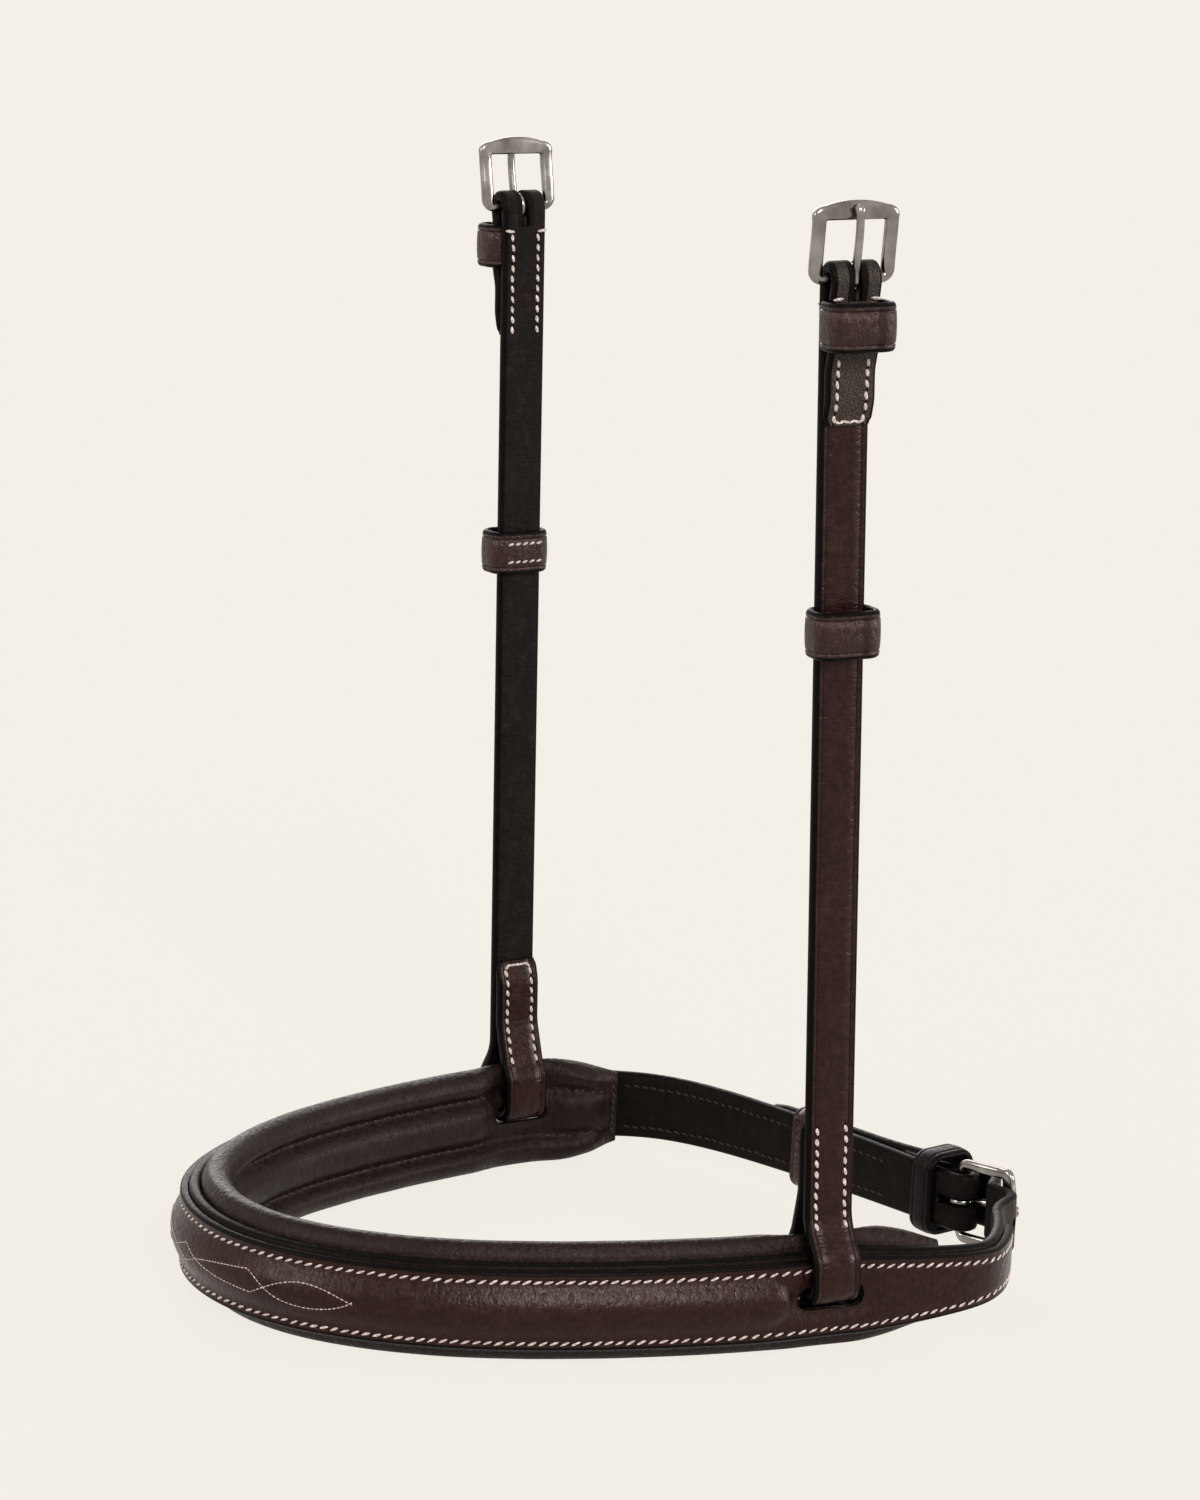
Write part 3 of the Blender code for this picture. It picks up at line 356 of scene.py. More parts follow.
def add_slots(form, length=SLOT_LENGTH, height=SLOT_HEIGHT, lift=0.0):
    """The two round-ended slots that the hangers pass through."""
    for arc in (OFF_HANGER, NEAR_HANGER):
        way = band_way(arc)
        rim = bmesh.ops.create_circle(form, cap_ends=True, segments=32, radius=height / 2)["verts"]
        for vert in rim:
            vert.co.x += math.copysign((length - height) / 2, vert.co.x)
        lid = list({face for vert in rim for face in vert.link_faces})
        walls = bmesh.ops.extrude_face_region(form, geom=lid)
        far = [part for part in walls["geom"] if isinstance(part, bmesh.types.BMVert)]
        bmesh.ops.translate(form, verts=far, vec=(0, 0, THROUGH))
        bmesh.ops.translate(form, verts=rim + far, vec=(0, 0, -THROUGH / 2))
        place = seat(on_band(arc, 0, lift), way.to_3d(), (0, 0, 1), (way.y, -way.x, 0))
        bmesh.ops.transform(form, matrix=place, verts=rim + far)
    return form


def bore(form, start, end, diameter):
    """A round punch between two places."""
    way, radius = end - start, diameter / 2
    place = Matrix.Translation((start + end) / 2) @ way.to_track_quat("Z", "Y").to_matrix().to_4x4()
    bmesh.ops.create_cone(
        form, cap_ends=True, segments=24, radius1=radius, radius2=radius, depth=way.length, matrix=place
    )


def chin_place(along, out):
    """A place by the chin bar, along the chin and outward."""
    place = CHIN_BAR + CHIN_ALONG * along + CHIN_OUT * out
    return Vector((place.x, place.y, BAND_MIDDLE))


cuts = bmesh.new()
for arc in HOLES:
    bore(cuts, on_band(arc, -PUNCHED, 0), on_band(arc, PUNCHED, 0), HOLE_DIAMETER)
bore(cuts, chin_place(*PIN_ENTERS), chin_place(*PIN_LEAVES), USED_HOLE_DIAMETER)
chin = seat(chin_place(0, 0), CHIN_ALONG.to_3d(), CHIN_OUT.to_3d(), (0, 0, 1))
bmesh.ops.create_cube(cuts, size=1.0, matrix=chin @ Matrix.Diagonal(EYE_SLIT))
cut_away(strap, add_slots(cuts))
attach(strap, "band")
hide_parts("main_strap")


# Raised face: a strip of havana leather, wetted and pressed over a felt cord so that its middle stands up.
# It is sewn to the main strap along both flanges, and it is dished in round its slots.
FACE_START, FACE_END = 0.0250, 0.55898
FACE_BASE, FACE_SKIN = 0.0018, 0.0038
FACE_INSET, UPPER_ROW, LOWER_ROW = 0.00125, 0.00265, 0.00205
FACE_RISE, FLANGE_WIDTH = 0.0023, 0.0012
ROUND_STARTS, ROUND_RUN = 0.0112, 0.0070
DISH_DEPTH, DISH_REACH = 0.0009, 0.0022
CROWN_POWER, ROUND_POWER = 1.2, 0.7
GROOVE_WIDTH, GROOVE_DEPTH = 0.00055, 0.00030
RUB_AWAY, RUB_WIDTH, RUB_DEPTH = 0.0013, 0.0004, 0.00010
SOFT_EDGE, SOFT_SHARE = 0.00075, 0.10
FACE_STEP = 0.0009
# The places across the face, as shares of its half height, and those across its back
FACE_SHARES = (1.0, 0.955, 0.90, 0.84, 0.79, 0.74, 0.69, 0.62, 0.54, 0.46, 0.36, 0.25, 0.12)
BACK_SHARES = (-0.985, -0.4, 0.4, 0.985)
GRAIN = leather(
    "havana_grain", (0.0182, 0.0056, 0.0046), (0.0270, 0.0085, 0.0070), 0.29, 0.20, 0.55, 0.30, 0.25
)


def face_half(arc):
    """Half the height of the face."""
    return read(STRAP_HEIGHTS, arc) / 2 - FACE_INSET


def row_rise(arc, side):
    """How far the row of stitches on this side lies from the face's middle line."""
    return face_half(arc) - (UPPER_ROW if side > 0 else LOWER_ROW)


def face_out(arc, rise):
    """How far the leather's outer face stands from the middle of the main strap."""
    row = row_rise(arc, rise)
    nearest = min(arc - OFF_HANGER, NEAR_HANGER - arc)
    share = min(max((nearest - ROUND_STARTS) / ROUND_RUN, 0), 1)
    rounded = math.sqrt(1 - (1 - share) ** 2)
    cord_half = max((row - FLANGE_WIDTH) * rounded, 0.0001)
    crown = max(1 - (rise / cord_half) ** 2, 0) ** CROWN_POWER
    out = FACE_SKIN + FACE_RISE * crown * rounded**ROUND_POWER
    for hanger in (OFF_HANGER, NEAR_HANGER):
        along = max(abs(arc - hanger) - (SLOT_LENGTH - SLOT_HEIGHT) / 2, 0)
        past = max(math.hypot(along, rise) - SLOT_HEIGHT / 2, 0)
        out -= DISH_DEPTH * math.exp(-((past / DISH_REACH) ** 2))
    groove = math.exp(-(((abs(rise) - row) / GROOVE_WIDTH) ** 2))
    rub = math.exp(-(((abs(rise) - row - RUB_AWAY) / RUB_WIDTH) ** 2))
    return out - groove * GROOVE_DEPTH - rub * RUB_DEPTH


face_arcs = np.linspace(FACE_START, FACE_END, round((FACE_END - FACE_START) / FACE_STEP) + 1)
face_rises = [*FACE_SHARES, 0.0] + [-share for share in reversed(FACE_SHARES)]


def face_place(row, column):
    """The face's outside from its upper to its lower edge, and then its flat back."""
    arc = face_arcs[row]
    half = face_half(arc)
    if column < len(face_rises):
        share = face_rises[column]
        rise = share * half
        turned_in = max((abs(share) - 1 + SOFT_SHARE) / SOFT_SHARE, 0)
        soft = SOFT_EDGE * (1 - math.sqrt(max(1 - turned_in**2, 0)))
        out = face_out(arc, rise) - soft
    else:
        rise = BACK_SHARES[column - len(face_rises)] * half
        out = FACE_BASE
    return on_band(arc, out, rise), Vector((arc, rise, out))


face_zones = [1, 1] + [0] * (len(face_rises) - 5) + [1] * 2 + [1, 2, 2, 2, 1]
columns = len(face_rises) + len(BACK_SHARES)
face = skin("face", face_place, len(face_arcs), columns, [GRAIN, EDGE, FLESH], face_zones)
cut_away(face, add_slots(bmesh.new()))
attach(face, "band")
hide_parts("raised_face", "face_filler")


# Face stitching: thick linen thread in two rows of saddle stitches. Each stitch lies slanted in a groove
# between two awl holes, and is sewn through the face, the strap and the pad's lip.
THREAD_LENGTH, THREAD_WIDTH = 0.00250, 0.00066
THREAD_SLANT = math.radians(23)
STITCH_PITCH, LONGER_PITCH, LONGER_AT, LONGER_RUN = 0.00268, 0.00042, 0.475, 0.022
ROW_START, ROW_STAGGER, ROW_END = 0.0026, 0.0009, 0.0022
AWL_LENGTH, AWL_WIDTH = 0.0010, 0.00062
INNER_LENGTH, INNER_WIDTH = 0.0021, 0.00062
SEWN_AT_ONCE = 20


def thread(name, light, dark):
    """Waxed linen: two plies twisted together, a little soiled."""
    material, tree, shader, source = new_finish(name)
    wave = {"Vector": source, "Scale": 420, "Distortion": 0.8}
    twist = added(tree, "TexWave", wave, bands_direction="DIAGONAL").outputs["Fac"]
    soil = noise(tree, source, 300, 4, (1, 1, 1), 0.30, 0.62)
    plies = mixed(tree, twist, toned(dark, 0.80), mixed(tree, soil, dark, light))
    wire(tree, shader, {"Base Color": plies, "Roughness": ranged(tree, soil, 0.5, 0.75)})
    wire(tree, shader, {"Normal": bumped(tree, twist, 0.00012, 0.5), "Specular IOR Level": 0.3})
    return material


THREAD = thread("linen_thread", (0.86, 0.745, 0.710), (0.60, 0.47, 0.43))
DULL_THREAD = thread("soiled_thread", (0.042, 0.019, 0.016), (0.018, 0.009, 0.0075))
# Dark spots sunk between the stitches: painted shade standing in for the awl holes.
AWL_HOLE_SHADE = leather("awl_hole_shade", (0.0032, 0.0022, 0.0020), (0.0060, 0.0038, 0.0034), 0.6, 0.1, 0.2, 0.1, 0.1)


def sew(name, stitches, material, body, around=8, along=6, taper=1.25):
    """Stitches: each has its middle, the way it lies, the leather's normal, its length and its width.

    They are made a few at a time, because the operators slow down as a form grows.
    """
    form = bmesh.new()
    for first in range(0, len(stitches), SEWN_AT_ONCE):
        few = bmesh.new()
        lay = few.verts.layers.float_vector.new("lay")
        batch = enumerate(stitches[first : first + SEWN_AT_ONCE], first)
        for number, (middle, way, normal, length, width) in batch:
            way = (way - normal * way.dot(normal)).normalized()
            place = seat(middle, normal.cross(way), normal, way)
            size = Matrix.Diagonal((width / 2, width * 0.42, length / 2, 1))
            made = bmesh.ops.create_uvsphere(few, u_segments=around, v_segments=along, radius=1.0)["verts"]
            for vert in made:
                vert.co.z = math.copysign(abs(vert.co.z) ** taper, vert.co.z)
                x, y, z = vert.co
                vert[lay] = (x * width / 2 + number * 0.011, y * width, z * length / 2)
            bmesh.ops.transform(few, matrix=place @ size, verts=made)
        sewn = bpy.data.meshes.new("sewn")
        few.to_mesh(sewn)
        few.free()
        form.from_mesh(sewn)
        bpy.data.meshes.remove(sewn)
    piece = finished(name, form, [material])
    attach(piece, body)
    return piece


def face_frame(arc, rise):
    """The face's surface at a place: the place, the way along it and its normal."""
    step = 0.0004
    steps = ((step, 0), (-step, 0), (0, step), (0, -step))
    places = [on_band(arc + a, face_out(arc + a, rise + r), rise + r) for a, r in steps]
    ahead, upper = places[0] - places[1], places[2] - places[3]
    return on_band(arc, face_out(arc, rise), rise), ahead.normalized(), ahead.cross(upper).normalized()


def inward_at(arc):
    return on_band(arc, 0, 0) - on_band(arc, 1, 0)


rng = np.random.default_rng(4)
stitches, hole_shades = [], []
for side in (1, -1):
    arc = FACE_START + ROW_START + (ROW_STAGGER if side > 0 else 0.0)
    while arc < FACE_END - ROW_END:
        pitch = STITCH_PITCH + LONGER_PITCH * math.exp(-(((arc - LONGER_AT) / LONGER_RUN) ** 2))
        rise = side * row_rise(arc, side) + rng.normal(0, 0.00006)
        place, ahead, normal = face_frame(arc, rise)
        slant = THREAD_SLANT + rng.normal(0, 0.06)
        way = ahead * math.cos(slant) + Vector((0, 0, 1)) * math.sin(slant)
        length, width = THREAD_LENGTH * rng.uniform(0.93, 1.05), THREAD_WIDTH * rng.uniform(0.88, 1.12)
        stitches.append((place + normal * (width * 0.26), way, normal, length, width))
        arc += pitch / 2
        place, ahead, normal = face_frame(arc, rise)
        # A dark spot between two stitches: painted shade of the awl hole.
        hole_shades.append((place - normal * 0.00010, Vector((0, 0, 1)) + ahead, normal, AWL_LENGTH, AWL_WIDTH))
        arc += pitch / 2
sew("face_stitches", stitches, THREAD, "band")
sew("face_awl_hole_shade", hole_shades, AWL_HOLE_SHADE, "band", 6, 4, 1.0)

# The same rows on the flesh side, in thread that the inside has darkened, where no pad covers them
stitches = []
for start, end in ((FACE_START + 0.002, PAD_START - 0.001), (PAD_END + 0.002, FACE_END - 0.002)):
    for arc in np.arange(start, end, STITCH_PITCH):
        for side in (1, -1):
            rise = side * row_rise(arc, side) + rng.normal(0, 0.00008)
            middle = on_band(arc, -HALF_STRAP - 0.00008, rise)
            lean = band_way(arc).to_3d() + Vector((0, 0, 0.25))
            stitches.append((middle, lean, inward_at(arc), INNER_LENGTH, INNER_WIDTH))
sew("inner_stitches", stitches, DULL_THREAD, "band", 6, 5)


# Fancy stitching: fine silk thread worked over the raised front, in two lines that cross and turn back
# into pointed lozenges. It is sewn by machine through the face alone, before the face is pressed.
FINE_PITCH, FINE_LENGTH, FINE_WIDTH = 0.00115, 0.00108, 0.00036
NOSE = 0.31945
# Half of each line, in mm from the middle of the nose and up from the face's middle, corner by corner
FANCY_LINES = (
    ((0, 2.4), (3.1, 1.1), (6.1, 0.0), (10.4, -1.0), (15.7, -1.75), (21.0, -2.1), (26.4, -2.45)),
    (
        (26.4, -2.45), (30.6, 0.0), (34.6, 1.9), (38.8, 3.0), (42.5, 3.1), (47.8, 2.0),
        (53.4, -0.1), (53.9, -0.3),
    ),
    ((0, -2.4), (3.4, -1.0), (6.1, 0.0), (12.3, 1.5), (18.0, 2.4), (23.6, 3.1), (25.3, 3.3)),
    (
        (25.3, 3.3), (28.1, 1.6), (30.4, 0.0), (33.8, -1.9), (37.3, -2.8), (40.6, -3.1),
        (45.2, -2.8), (48.8, -2.0), (53.2, 0.0), (53.8, 0.4),
    ),
)
stitches = []
for line in FANCY_LINES:
    drawn = natural_line(np.array(line) / 1000, 30)
    drawn_arcs = lengths_along(drawn)
    count = round(drawn_arcs[-1] / FINE_PITCH)
    for arc in (np.arange(count) + 0.5) * drawn_arcs[-1] / count:
        across, rise = point_at(arc, drawn_arcs, drawn)
        ahead_across, ahead_rise = point_at(arc + 0.0003, drawn_arcs, drawn)
        for side in (1, -1):
            place, _, normal = face_frame(NOSE + side * across, rise)
            there, _, _ = face_frame(NOSE + side * ahead_across, ahead_rise)
            width = FINE_WIDTH * rng.uniform(0.85, 1.15)
            stitches.append((place + normal * (width * 0.18), there - place, normal, FINE_LENGTH, width))
SILK = thread("silk_thread", (0.74, 0.62, 0.58), (0.44, 0.33, 0.31))
sew("fancy_stitches", stitches, SILK, "band", 6, 4, 1.0)


# Pad: soft calf leather drawn over two foam rolls with a flatter foam channel between them, lasted round
# the main strap's edges and pinched at each slot. It is stuffed by hand, so its seams pucker.
PAD_BACK, PAD_DEPTH, PAD_HALF = 0.0018, 0.0088, 0.0150
PINCH, LOWER_PINCH, PINCH_STARTS, PINCH_ENDS = 0.45, 0.68, 0.0059, 0.0180
PAD_END_RUN, END_DEPTH, END_HEIGHT, TAPER_RUN = 0.0090, 0.42, 0.67, 0.02325
FLAT_RUN, FLAT_DEPTH, FLATTENED = 0.0340, 0.90, 0.75
SEAM_HEIGHT, SEAM_WIDTH = 0.46, 0.13
PUCKER_PITCH, PUCKER_DEPTH, PUCKER_STAGGER, WAVE_DEPTH = 0.0031, 0.00095, 0.37, 0.00012
# The pad's slots are a little smaller than the strap's: length, height and how far they lie higher
PAD_SLOTS = (0.0166, 0.0053, 0.0004)
SEAM_LENGTH, SEAM_THREAD_WIDTH, SEAM_CLEAR = 0.0012, 0.00045, 0.011
END_LENGTH, END_WIDTH, END_INSET = 0.0018, 0.00055, 0.0012
PAD_STEP = 0.0011
# Depth and height of its outside, as shares, from its lip on the strap to the middle of the channel
PAD_OUTLINE = (
    (0.00, 0.50), (0.00, 0.68), (0.00, 0.81), (0.20, 0.985), (0.50, 1.0), (0.82, 0.88), (0.93, 0.69),
    (0.60, 0.46), (0.92, 0.24), (1.00, 0.00),
)
# Seam thread on the pad: real stitches, but their light tone is partly a painted glint along the seams.
SEAM_THREAD_AND_GLINT = thread("seam_thread_and_glint", (0.120, 0.072, 0.060), (0.045, 0.026, 0.022))

upper_half = np.array(PAD_OUTLINE)
mirrored = upper_half[:-1][::-1] * (1, -1)
half_line = natural_line(np.concatenate((upper_half[2:], mirrored[:-2])), 5)
pad_outline = np.concatenate((half_line, [(0.0, -0.5), (0.0, 0.0), (0.0, 0.5)]))
pad_outline[:, 0] = np.maximum(pad_outline[:, 0], 0)
pad_arcs = np.linspace(PAD_START, PAD_END, round((PAD_END - PAD_START) / PAD_STEP) + 1)
pucker_depths = np.random.default_rng(11).uniform(0.35, 1.0, 400)


def from_hanger(arc):
    """How far a place along the band is from the nearer hanger."""
    return min(abs(arc - OFF_HANGER), abs(arc - NEAR_HANGER))


def pad_place(row, column):
    """The stuffed lining: full rolls and channel, pinched at the hangers and flatter at both ends."""
    arc = float(pad_arcs[row])
    depth, height = pad_outline[column]
    from_end = min(arc - PAD_START, PAD_END - arc)
    if 0.2 < depth and abs(height) < 0.7:
        depth += (FLAT_DEPTH - depth) * FLATTENED * (1 - float(smooth(from_end / FLAT_RUN)))
    end = float(smooth(from_end / PAD_END_RUN))
    least = PINCH + (LOWER_PINCH - PINCH) * float(smooth((-height - 0.25) / 0.35))
    freed = float(smooth((from_hanger(arc) - PINCH_STARTS) / (PINCH_ENDS - PINCH_STARTS)))
    pinch = least + (1 - least) * freed
    deep = PAD_DEPTH * pinch * (END_DEPTH + (1 - END_DEPTH) * end)
    taper = math.sin(min(from_end / TAPER_RUN, 1.0) * math.pi / 2)
    tall = PAD_HALF * (END_HEIGHT + (1 - END_HEIGHT) * taper)
    seam = math.exp(-(((abs(height) - SEAM_HEIGHT) / SEAM_WIDTH) ** 2)) * min(depth * 2, 1)
    number = arc / PUCKER_PITCH + (PUCKER_STAGGER if height < 0 else 0.0)
    fold = (0.5 + 0.5 * math.cos(math.tau * number)) ** 2
    pucker = PUCKER_DEPTH * seam * fold * pucker_depths[int(number) % len(pucker_depths)]
    wave = WAVE_DEPTH * math.sin(arc * 310 + height * 2) * min(depth * 2, 1)
    out = -PAD_BACK - depth * deep + (pucker + wave * 0.5) * (1 if depth > 0.05 else 0)
    return on_band(arc, out, height * tall), Vector((arc, height * tall, depth * deep))


PAD_SKIN = leather("pad_calf", (0.0118, 0.0062, 0.0055), (0.0192, 0.0106, 0.0094), 0.42, 0.16, 0.6, 0.6, 0.4)
pad = skin("pad", pad_place, len(pad_arcs), len(pad_outline), [PAD_SKIN])
cut_away(pad, add_slots(bmesh.new(), *PAD_SLOTS))
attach(pad, "band")
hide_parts("pad_lining", "upper_roll_foam", "lower_roll_foam", "centre_foam")
stitches = []
for arc, way in ((PAD_START + END_INSET, 1), (PAD_END - END_INSET, -1)):
    for rise in (-0.0066, -0.0044, -0.0022, 0.0, 0.0022, 0.0044, 0.0066):
        depth = PAD_BACK + 0.0006 + END_DEPTH * PAD_DEPTH * (0.82 if abs(rise) > 0.003 else 0.92)
        lean = Vector((0, 0, 1)) + band_way(arc).to_3d() * 0.5 * way
        stitches.append((on_band(arc, -depth, rise), lean, inward_at(arc), END_LENGTH, END_WIDTH))
for arc in np.arange(PAD_START + 0.006, PAD_END - 0.006, PUCKER_PITCH):
    if from_hanger(arc) <= SEAM_CLEAR:
        continue
    row = int((arc - PAD_START) / (PAD_END - PAD_START) * (len(pad_arcs) - 1))
    way, inward = band_way(arc).to_3d(), inward_at(arc)
    for side in (1, -1):
        apart = np.abs(pad_outline[:, 1] - side * SEAM_HEIGHT) + (pad_outline[:, 0] < 0.2)
        middle, _ = pad_place(row, int(np.argmin(apart)))
        stitches.append((middle + inward * 0.0001, way, inward, SEAM_LENGTH, SEAM_THREAD_WIDTH))
sew("pad_stitches", stitches, SEAM_THREAD_AND_GLINT, "band", 6, 4)


# Hangers: two half-inch straps of the same leather. Each is threaded through its slot and its lower end
# sewn up inside, and its upper end is folded flesh side out over the buckle's bar and sewn down.
HANGER_HALF, HANGER_SKIN = 0.0065, 0.0015
HANGER_SKIVE, END_NARROWED, END_ROUNDED, HANGER_CREASE = 0.007, 0.12, 0.0020, 0.00028
BARS_UP, BAR_OUT = {"near": 0.2550, "off": 0.2575}, 0.0034
TONGUE_SLIT = (0.0108, 0.0022, 0.0100, 1)
HANGER_STEP = 0.0008
# Flesh side of the hangers: a little lighter than the strap's flesh, and painted far lighter from the fold
# on, as painted light where the fold faces the lamps. Its speckle is the flesh's own grain.
FOLD_FLESH_PAINTED_LIGHT = leather(
    "fold_flesh_painted_light", (0.0044, 0.0034, 0.0028), (0.0120, 0.0096, 0.0081), 0.60, 0.10, 1.0, 0.2, 0.8, 0.318
)


HANGERS = {
    "near": seat(
        (0.0847675, 0.0283241, 0.015), (0.9983168, -0.0579977, 0), (0.0579658, 0.9977679, 0.0331552),
        (-0.0019229, -0.0330994, 0.9994502),
    ),
    "off": seat(
        (-0.0845553, 0.0194079, 0.015), (-0.9968719, -0.0790353, 0), (-0.0790207, 0.9966882, 0.0191974),
        (0.0015173, -0.0191374, 0.9998157),
    ),
}


def bend(x, y, radius, start, end, steps=12):
    """Points on a circle from one angle to another, in degrees."""
    angles = np.radians(np.linspace(start, end, steps + 1))
    return [(x + radius * math.cos(angle), y + radius * math.sin(angle)) for angle in angles]


def hanger_line(bar):
    """Close points on the hanger's middle line, outward and upward, for a bar at this height in mm."""
    points = [(-3.0, 45), (-3.0, 27), (-4.05, 23.5), (-6.66, 15.25), (-8.76, 12.1)]
    points += bend(-5.26, 3.5, 3.5, 180, 270) + bend(2.7, 3.5, 3.5, 270, 360)
    points += [(6.2, 10.5), (3.96, 13.5), (1.48, 17.1), (0.3, 20.5)] + bend(3.4, bar, 3.1, 180, 0)
    points += [(5.3, bar - 4.9), (5.3, bar - 16.7), (3.6, bar - 21.5), (3.6, bar - 35)]
    rough_path = np.array(points) / 1000
    rough_arcs = lengths_along(rough_path)
    even = np.linspace(0, rough_arcs[-1], round(rough_arcs[-1] / HANGER_STEP) + 1)
    path = np.stack([np.interp(even, rough_arcs, rough_path[:, k]) for k in (0, 1)], axis=1)
    for _ in range(4):
        path[1:-1] = (path[:-2] + 2 * path[1:-1] + path[2:]) / 4
    return path


def skived(from_end):
    """How far a hanger's face stands from its middle line, at a length from the end where it is skived."""
    return HANGER_SKIN * (2 * (0.35 + 0.65 * float(smooth(from_end / HANGER_SKIVE))) - 1)


def hanger_section(arc, length):
    """A hanger's outline: each end is skived on the face that shows, and its corners are taken off."""
    from_end = min(arc, length - arc)
    half = HANGER_HALF * (1 - END_NARROWED * (1 - float(smooth(from_end / END_ROUNDED))))
    return strap_section(half, -skived(length - arc), skived(arc), HANGER_CREASE)


hanger_paths = {side: hanger_line(1000 * up) for side, up in BARS_UP.items()}
for side, at in HANGERS.items():

    def hung(out, up, across):
        return at @ Vector((out, across, up))

    skins = [GRAIN, EDGE, FOLD_FLESH_PAINTED_LIGHT]
    hanger = ribbon(side + "_hanger", hanger_paths[side], hanger_section, hung, skins)
    slit = bmesh.new()
    place = at @ Matrix.Translation((BAR_OUT, 0, BARS_UP[side]))
    bmesh.ops.create_cube(slit, size=1.0, matrix=place @ Matrix.Diagonal(TONGUE_SLIT))
    cut_away(hanger, slit)
    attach(hanger, side + "_hanger")
    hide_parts(side + "_hanger_strap")


# Hanger stitching: the same linen thread. Two rows close the ends of each strap, with a cast of thread
# across the foot of each turned end, and one wrapped round the edges under the buckle.
HANGER_PITCH = 0.00280
ROW_ACROSS = 0.0039
LEAF_LENGTH, LEAF_WIDTH, LEAF_SUNK = 0.0022, 0.00108, 0.12
# Where the rows start: on the turned end, on the main run outside it, and down from the bar
FOOT_ROW, OUTER_ROW, FOLD_ROW = 0.0165, 0.0182, 0.0334
FOOT_CAST, FOOT_CORNER, FOLD_CAST = 0.0437, 0.0432, 0.0346
FOOT_PLACES = (-2.6, -1.3, 0.0, 1.3, 2.6)
FOLD_PLACES = ((-3.0, 0.4), (-1.7, -0.5), (-0.4, 0.2), (1.0, -0.35), (2.2, 0.3), (3.2, -0.5))
WRAP_DROPS = ((1, 0.0064), (2, 0.0042))


def hanger_face(side, arc, face):
    """The middle of one face of a hanger, outward and upward, by its length along the strap."""
    path = hanger_paths[side]
    arcs = lengths_along(path)
    x, z = point_at(arc, arcs, path)
    way_x, way_z = point_at(arc, arcs, ways_along(path))
    out = skived(arc if face > 0 else arcs[-1] - arc) * face
    return Vector((x + way_z * out, 0, z - way_x * out))


def on_hanger(side, arc, across, face):
    """A place on a hanger by its length along the strap, with the way along it and its normal there."""
    way = (hanger_face(side, arc + 0.0003, face) - hanger_face(side, arc - 0.0003, face)).normalized()
    turn = HANGERS[side].to_3x3()
    place = HANGERS[side] @ (hanger_face(side, arc, face) + Vector((0, across, 0)))
    return place, turn @ way, (turn @ Vector((way.z, 0, -way.x))).normalized() * face


def hanger_arc(side, up, branch):
    """The length along the strap at a height: on its lower inner end, its main run or its top fold."""
    path = hanger_paths[side]
    arcs = lengths_along(path)
    low, high = int(np.argmin(path[:, 1])), int(np.argmax(path[:, 1]))
    start, end = ((0, low), (low, high), (high, len(path) - 1))[branch]
    heights, lengths = path[start:end, 1], arcs[start:end]
    if branch != 1:
        heights, lengths = heights[::-1], lengths[::-1]
    return float(np.interp(up, heights, lengths))


for side, at in HANGERS.items():
    across = at.to_3x3().col[1]
    bar = BARS_UP[side]
    stitches, hole_shades = [], []
    rows = [(FOOT_ROW + k * HANGER_PITCH, 0, 1) for k in range(10)]
    rows += [(OUTER_ROW + k * HANGER_PITCH, 1, 1) for k in range(10)]
    rows += [(bar - FOLD_ROW + k * HANGER_PITCH, 2, -1) for k in range(6)]
    rows += [(bar - FOLD_ROW + k * HANGER_PITCH, 1, -1) for k in range(10)]
    for up, branch, face in rows:
        for row in (1, -1):
            arc = hanger_arc(side, up, branch)
            place, way, normal = on_hanger(side, arc, row * ROW_ACROSS + rng.normal(0, 0.00007), face)
            lean = way - across * math.copysign(0.22, way.z) + across * rng.normal(0, 0.05)
            width = LEAF_WIDTH * rng.uniform(0.85, 1.1)
            stitches.append((place - normal * (width * LEAF_SUNK), lean, normal, LEAF_LENGTH, width))
            # A dark spot between two stitches: painted shade of the awl hole.
            place, way, normal = on_hanger(side, arc + HANGER_PITCH / 2, row * ROW_ACROSS, face)
            hole_shades.append((place - normal * 0.00008, way, normal, 0.0010, 0.00072))
    # Each cast stitch: its height, branch and face, its place across in mm, its way across and along,
    # how far it stands out, its length and its width
    casts = [(FOOT_CAST, 0, 1, k, 1, rng.normal(0, 0.06), 0.0002, 0.0017, 0.0008) for k in FOOT_PLACES]
    casts += [(FOOT_CORNER, 0, 1, 3.4 * row, row, 0.9, 0.0002, 0.0015, 0.0008) for row in (1, -1)]
    casts += [(bar - FOLD_CAST, 2, -1, k, 1, slope, 0.0001, 0.0019, 0.0007) for k, slope in FOLD_PLACES]
    for branch, drop in WRAP_DROPS:
        for row in (1, -1):
            casts.append((bar - drop, branch, -1, 5.0 * row, 1, 0.12 * row, 0.0001, 0.0030, 0.00085))
    for up, branch, face, k, over, slope, stand, length, width in casts:
        place, way, normal = on_hanger(side, hanger_arc(side, up, branch), k / 1000, face)
        stitches.append((place + normal * stand, across * over + way * slope, normal, length, width))
    sew(side + "_hanger_stitches", stitches, THREAD, side + "_hanger")
    sew(side + "_hanger_awl_hole_shade", hole_shades, AWL_HOLE_SHADE, side + "_hanger", 6, 4, 1.0)


# Keepers and runners: strips of thin strap leather, wetted, bent round a wooden loop stick and butted
# at the back. The fixed ones are sewn in under the folds, and the runners slide on their straps.
KEEPER_DROP, KEEPER_WIDTH, KEEPER_WALL = 0.0108, 0.0118, 0.0017
RUNNER_DROPS = {"near": 0.0855, "off": 0.0952}
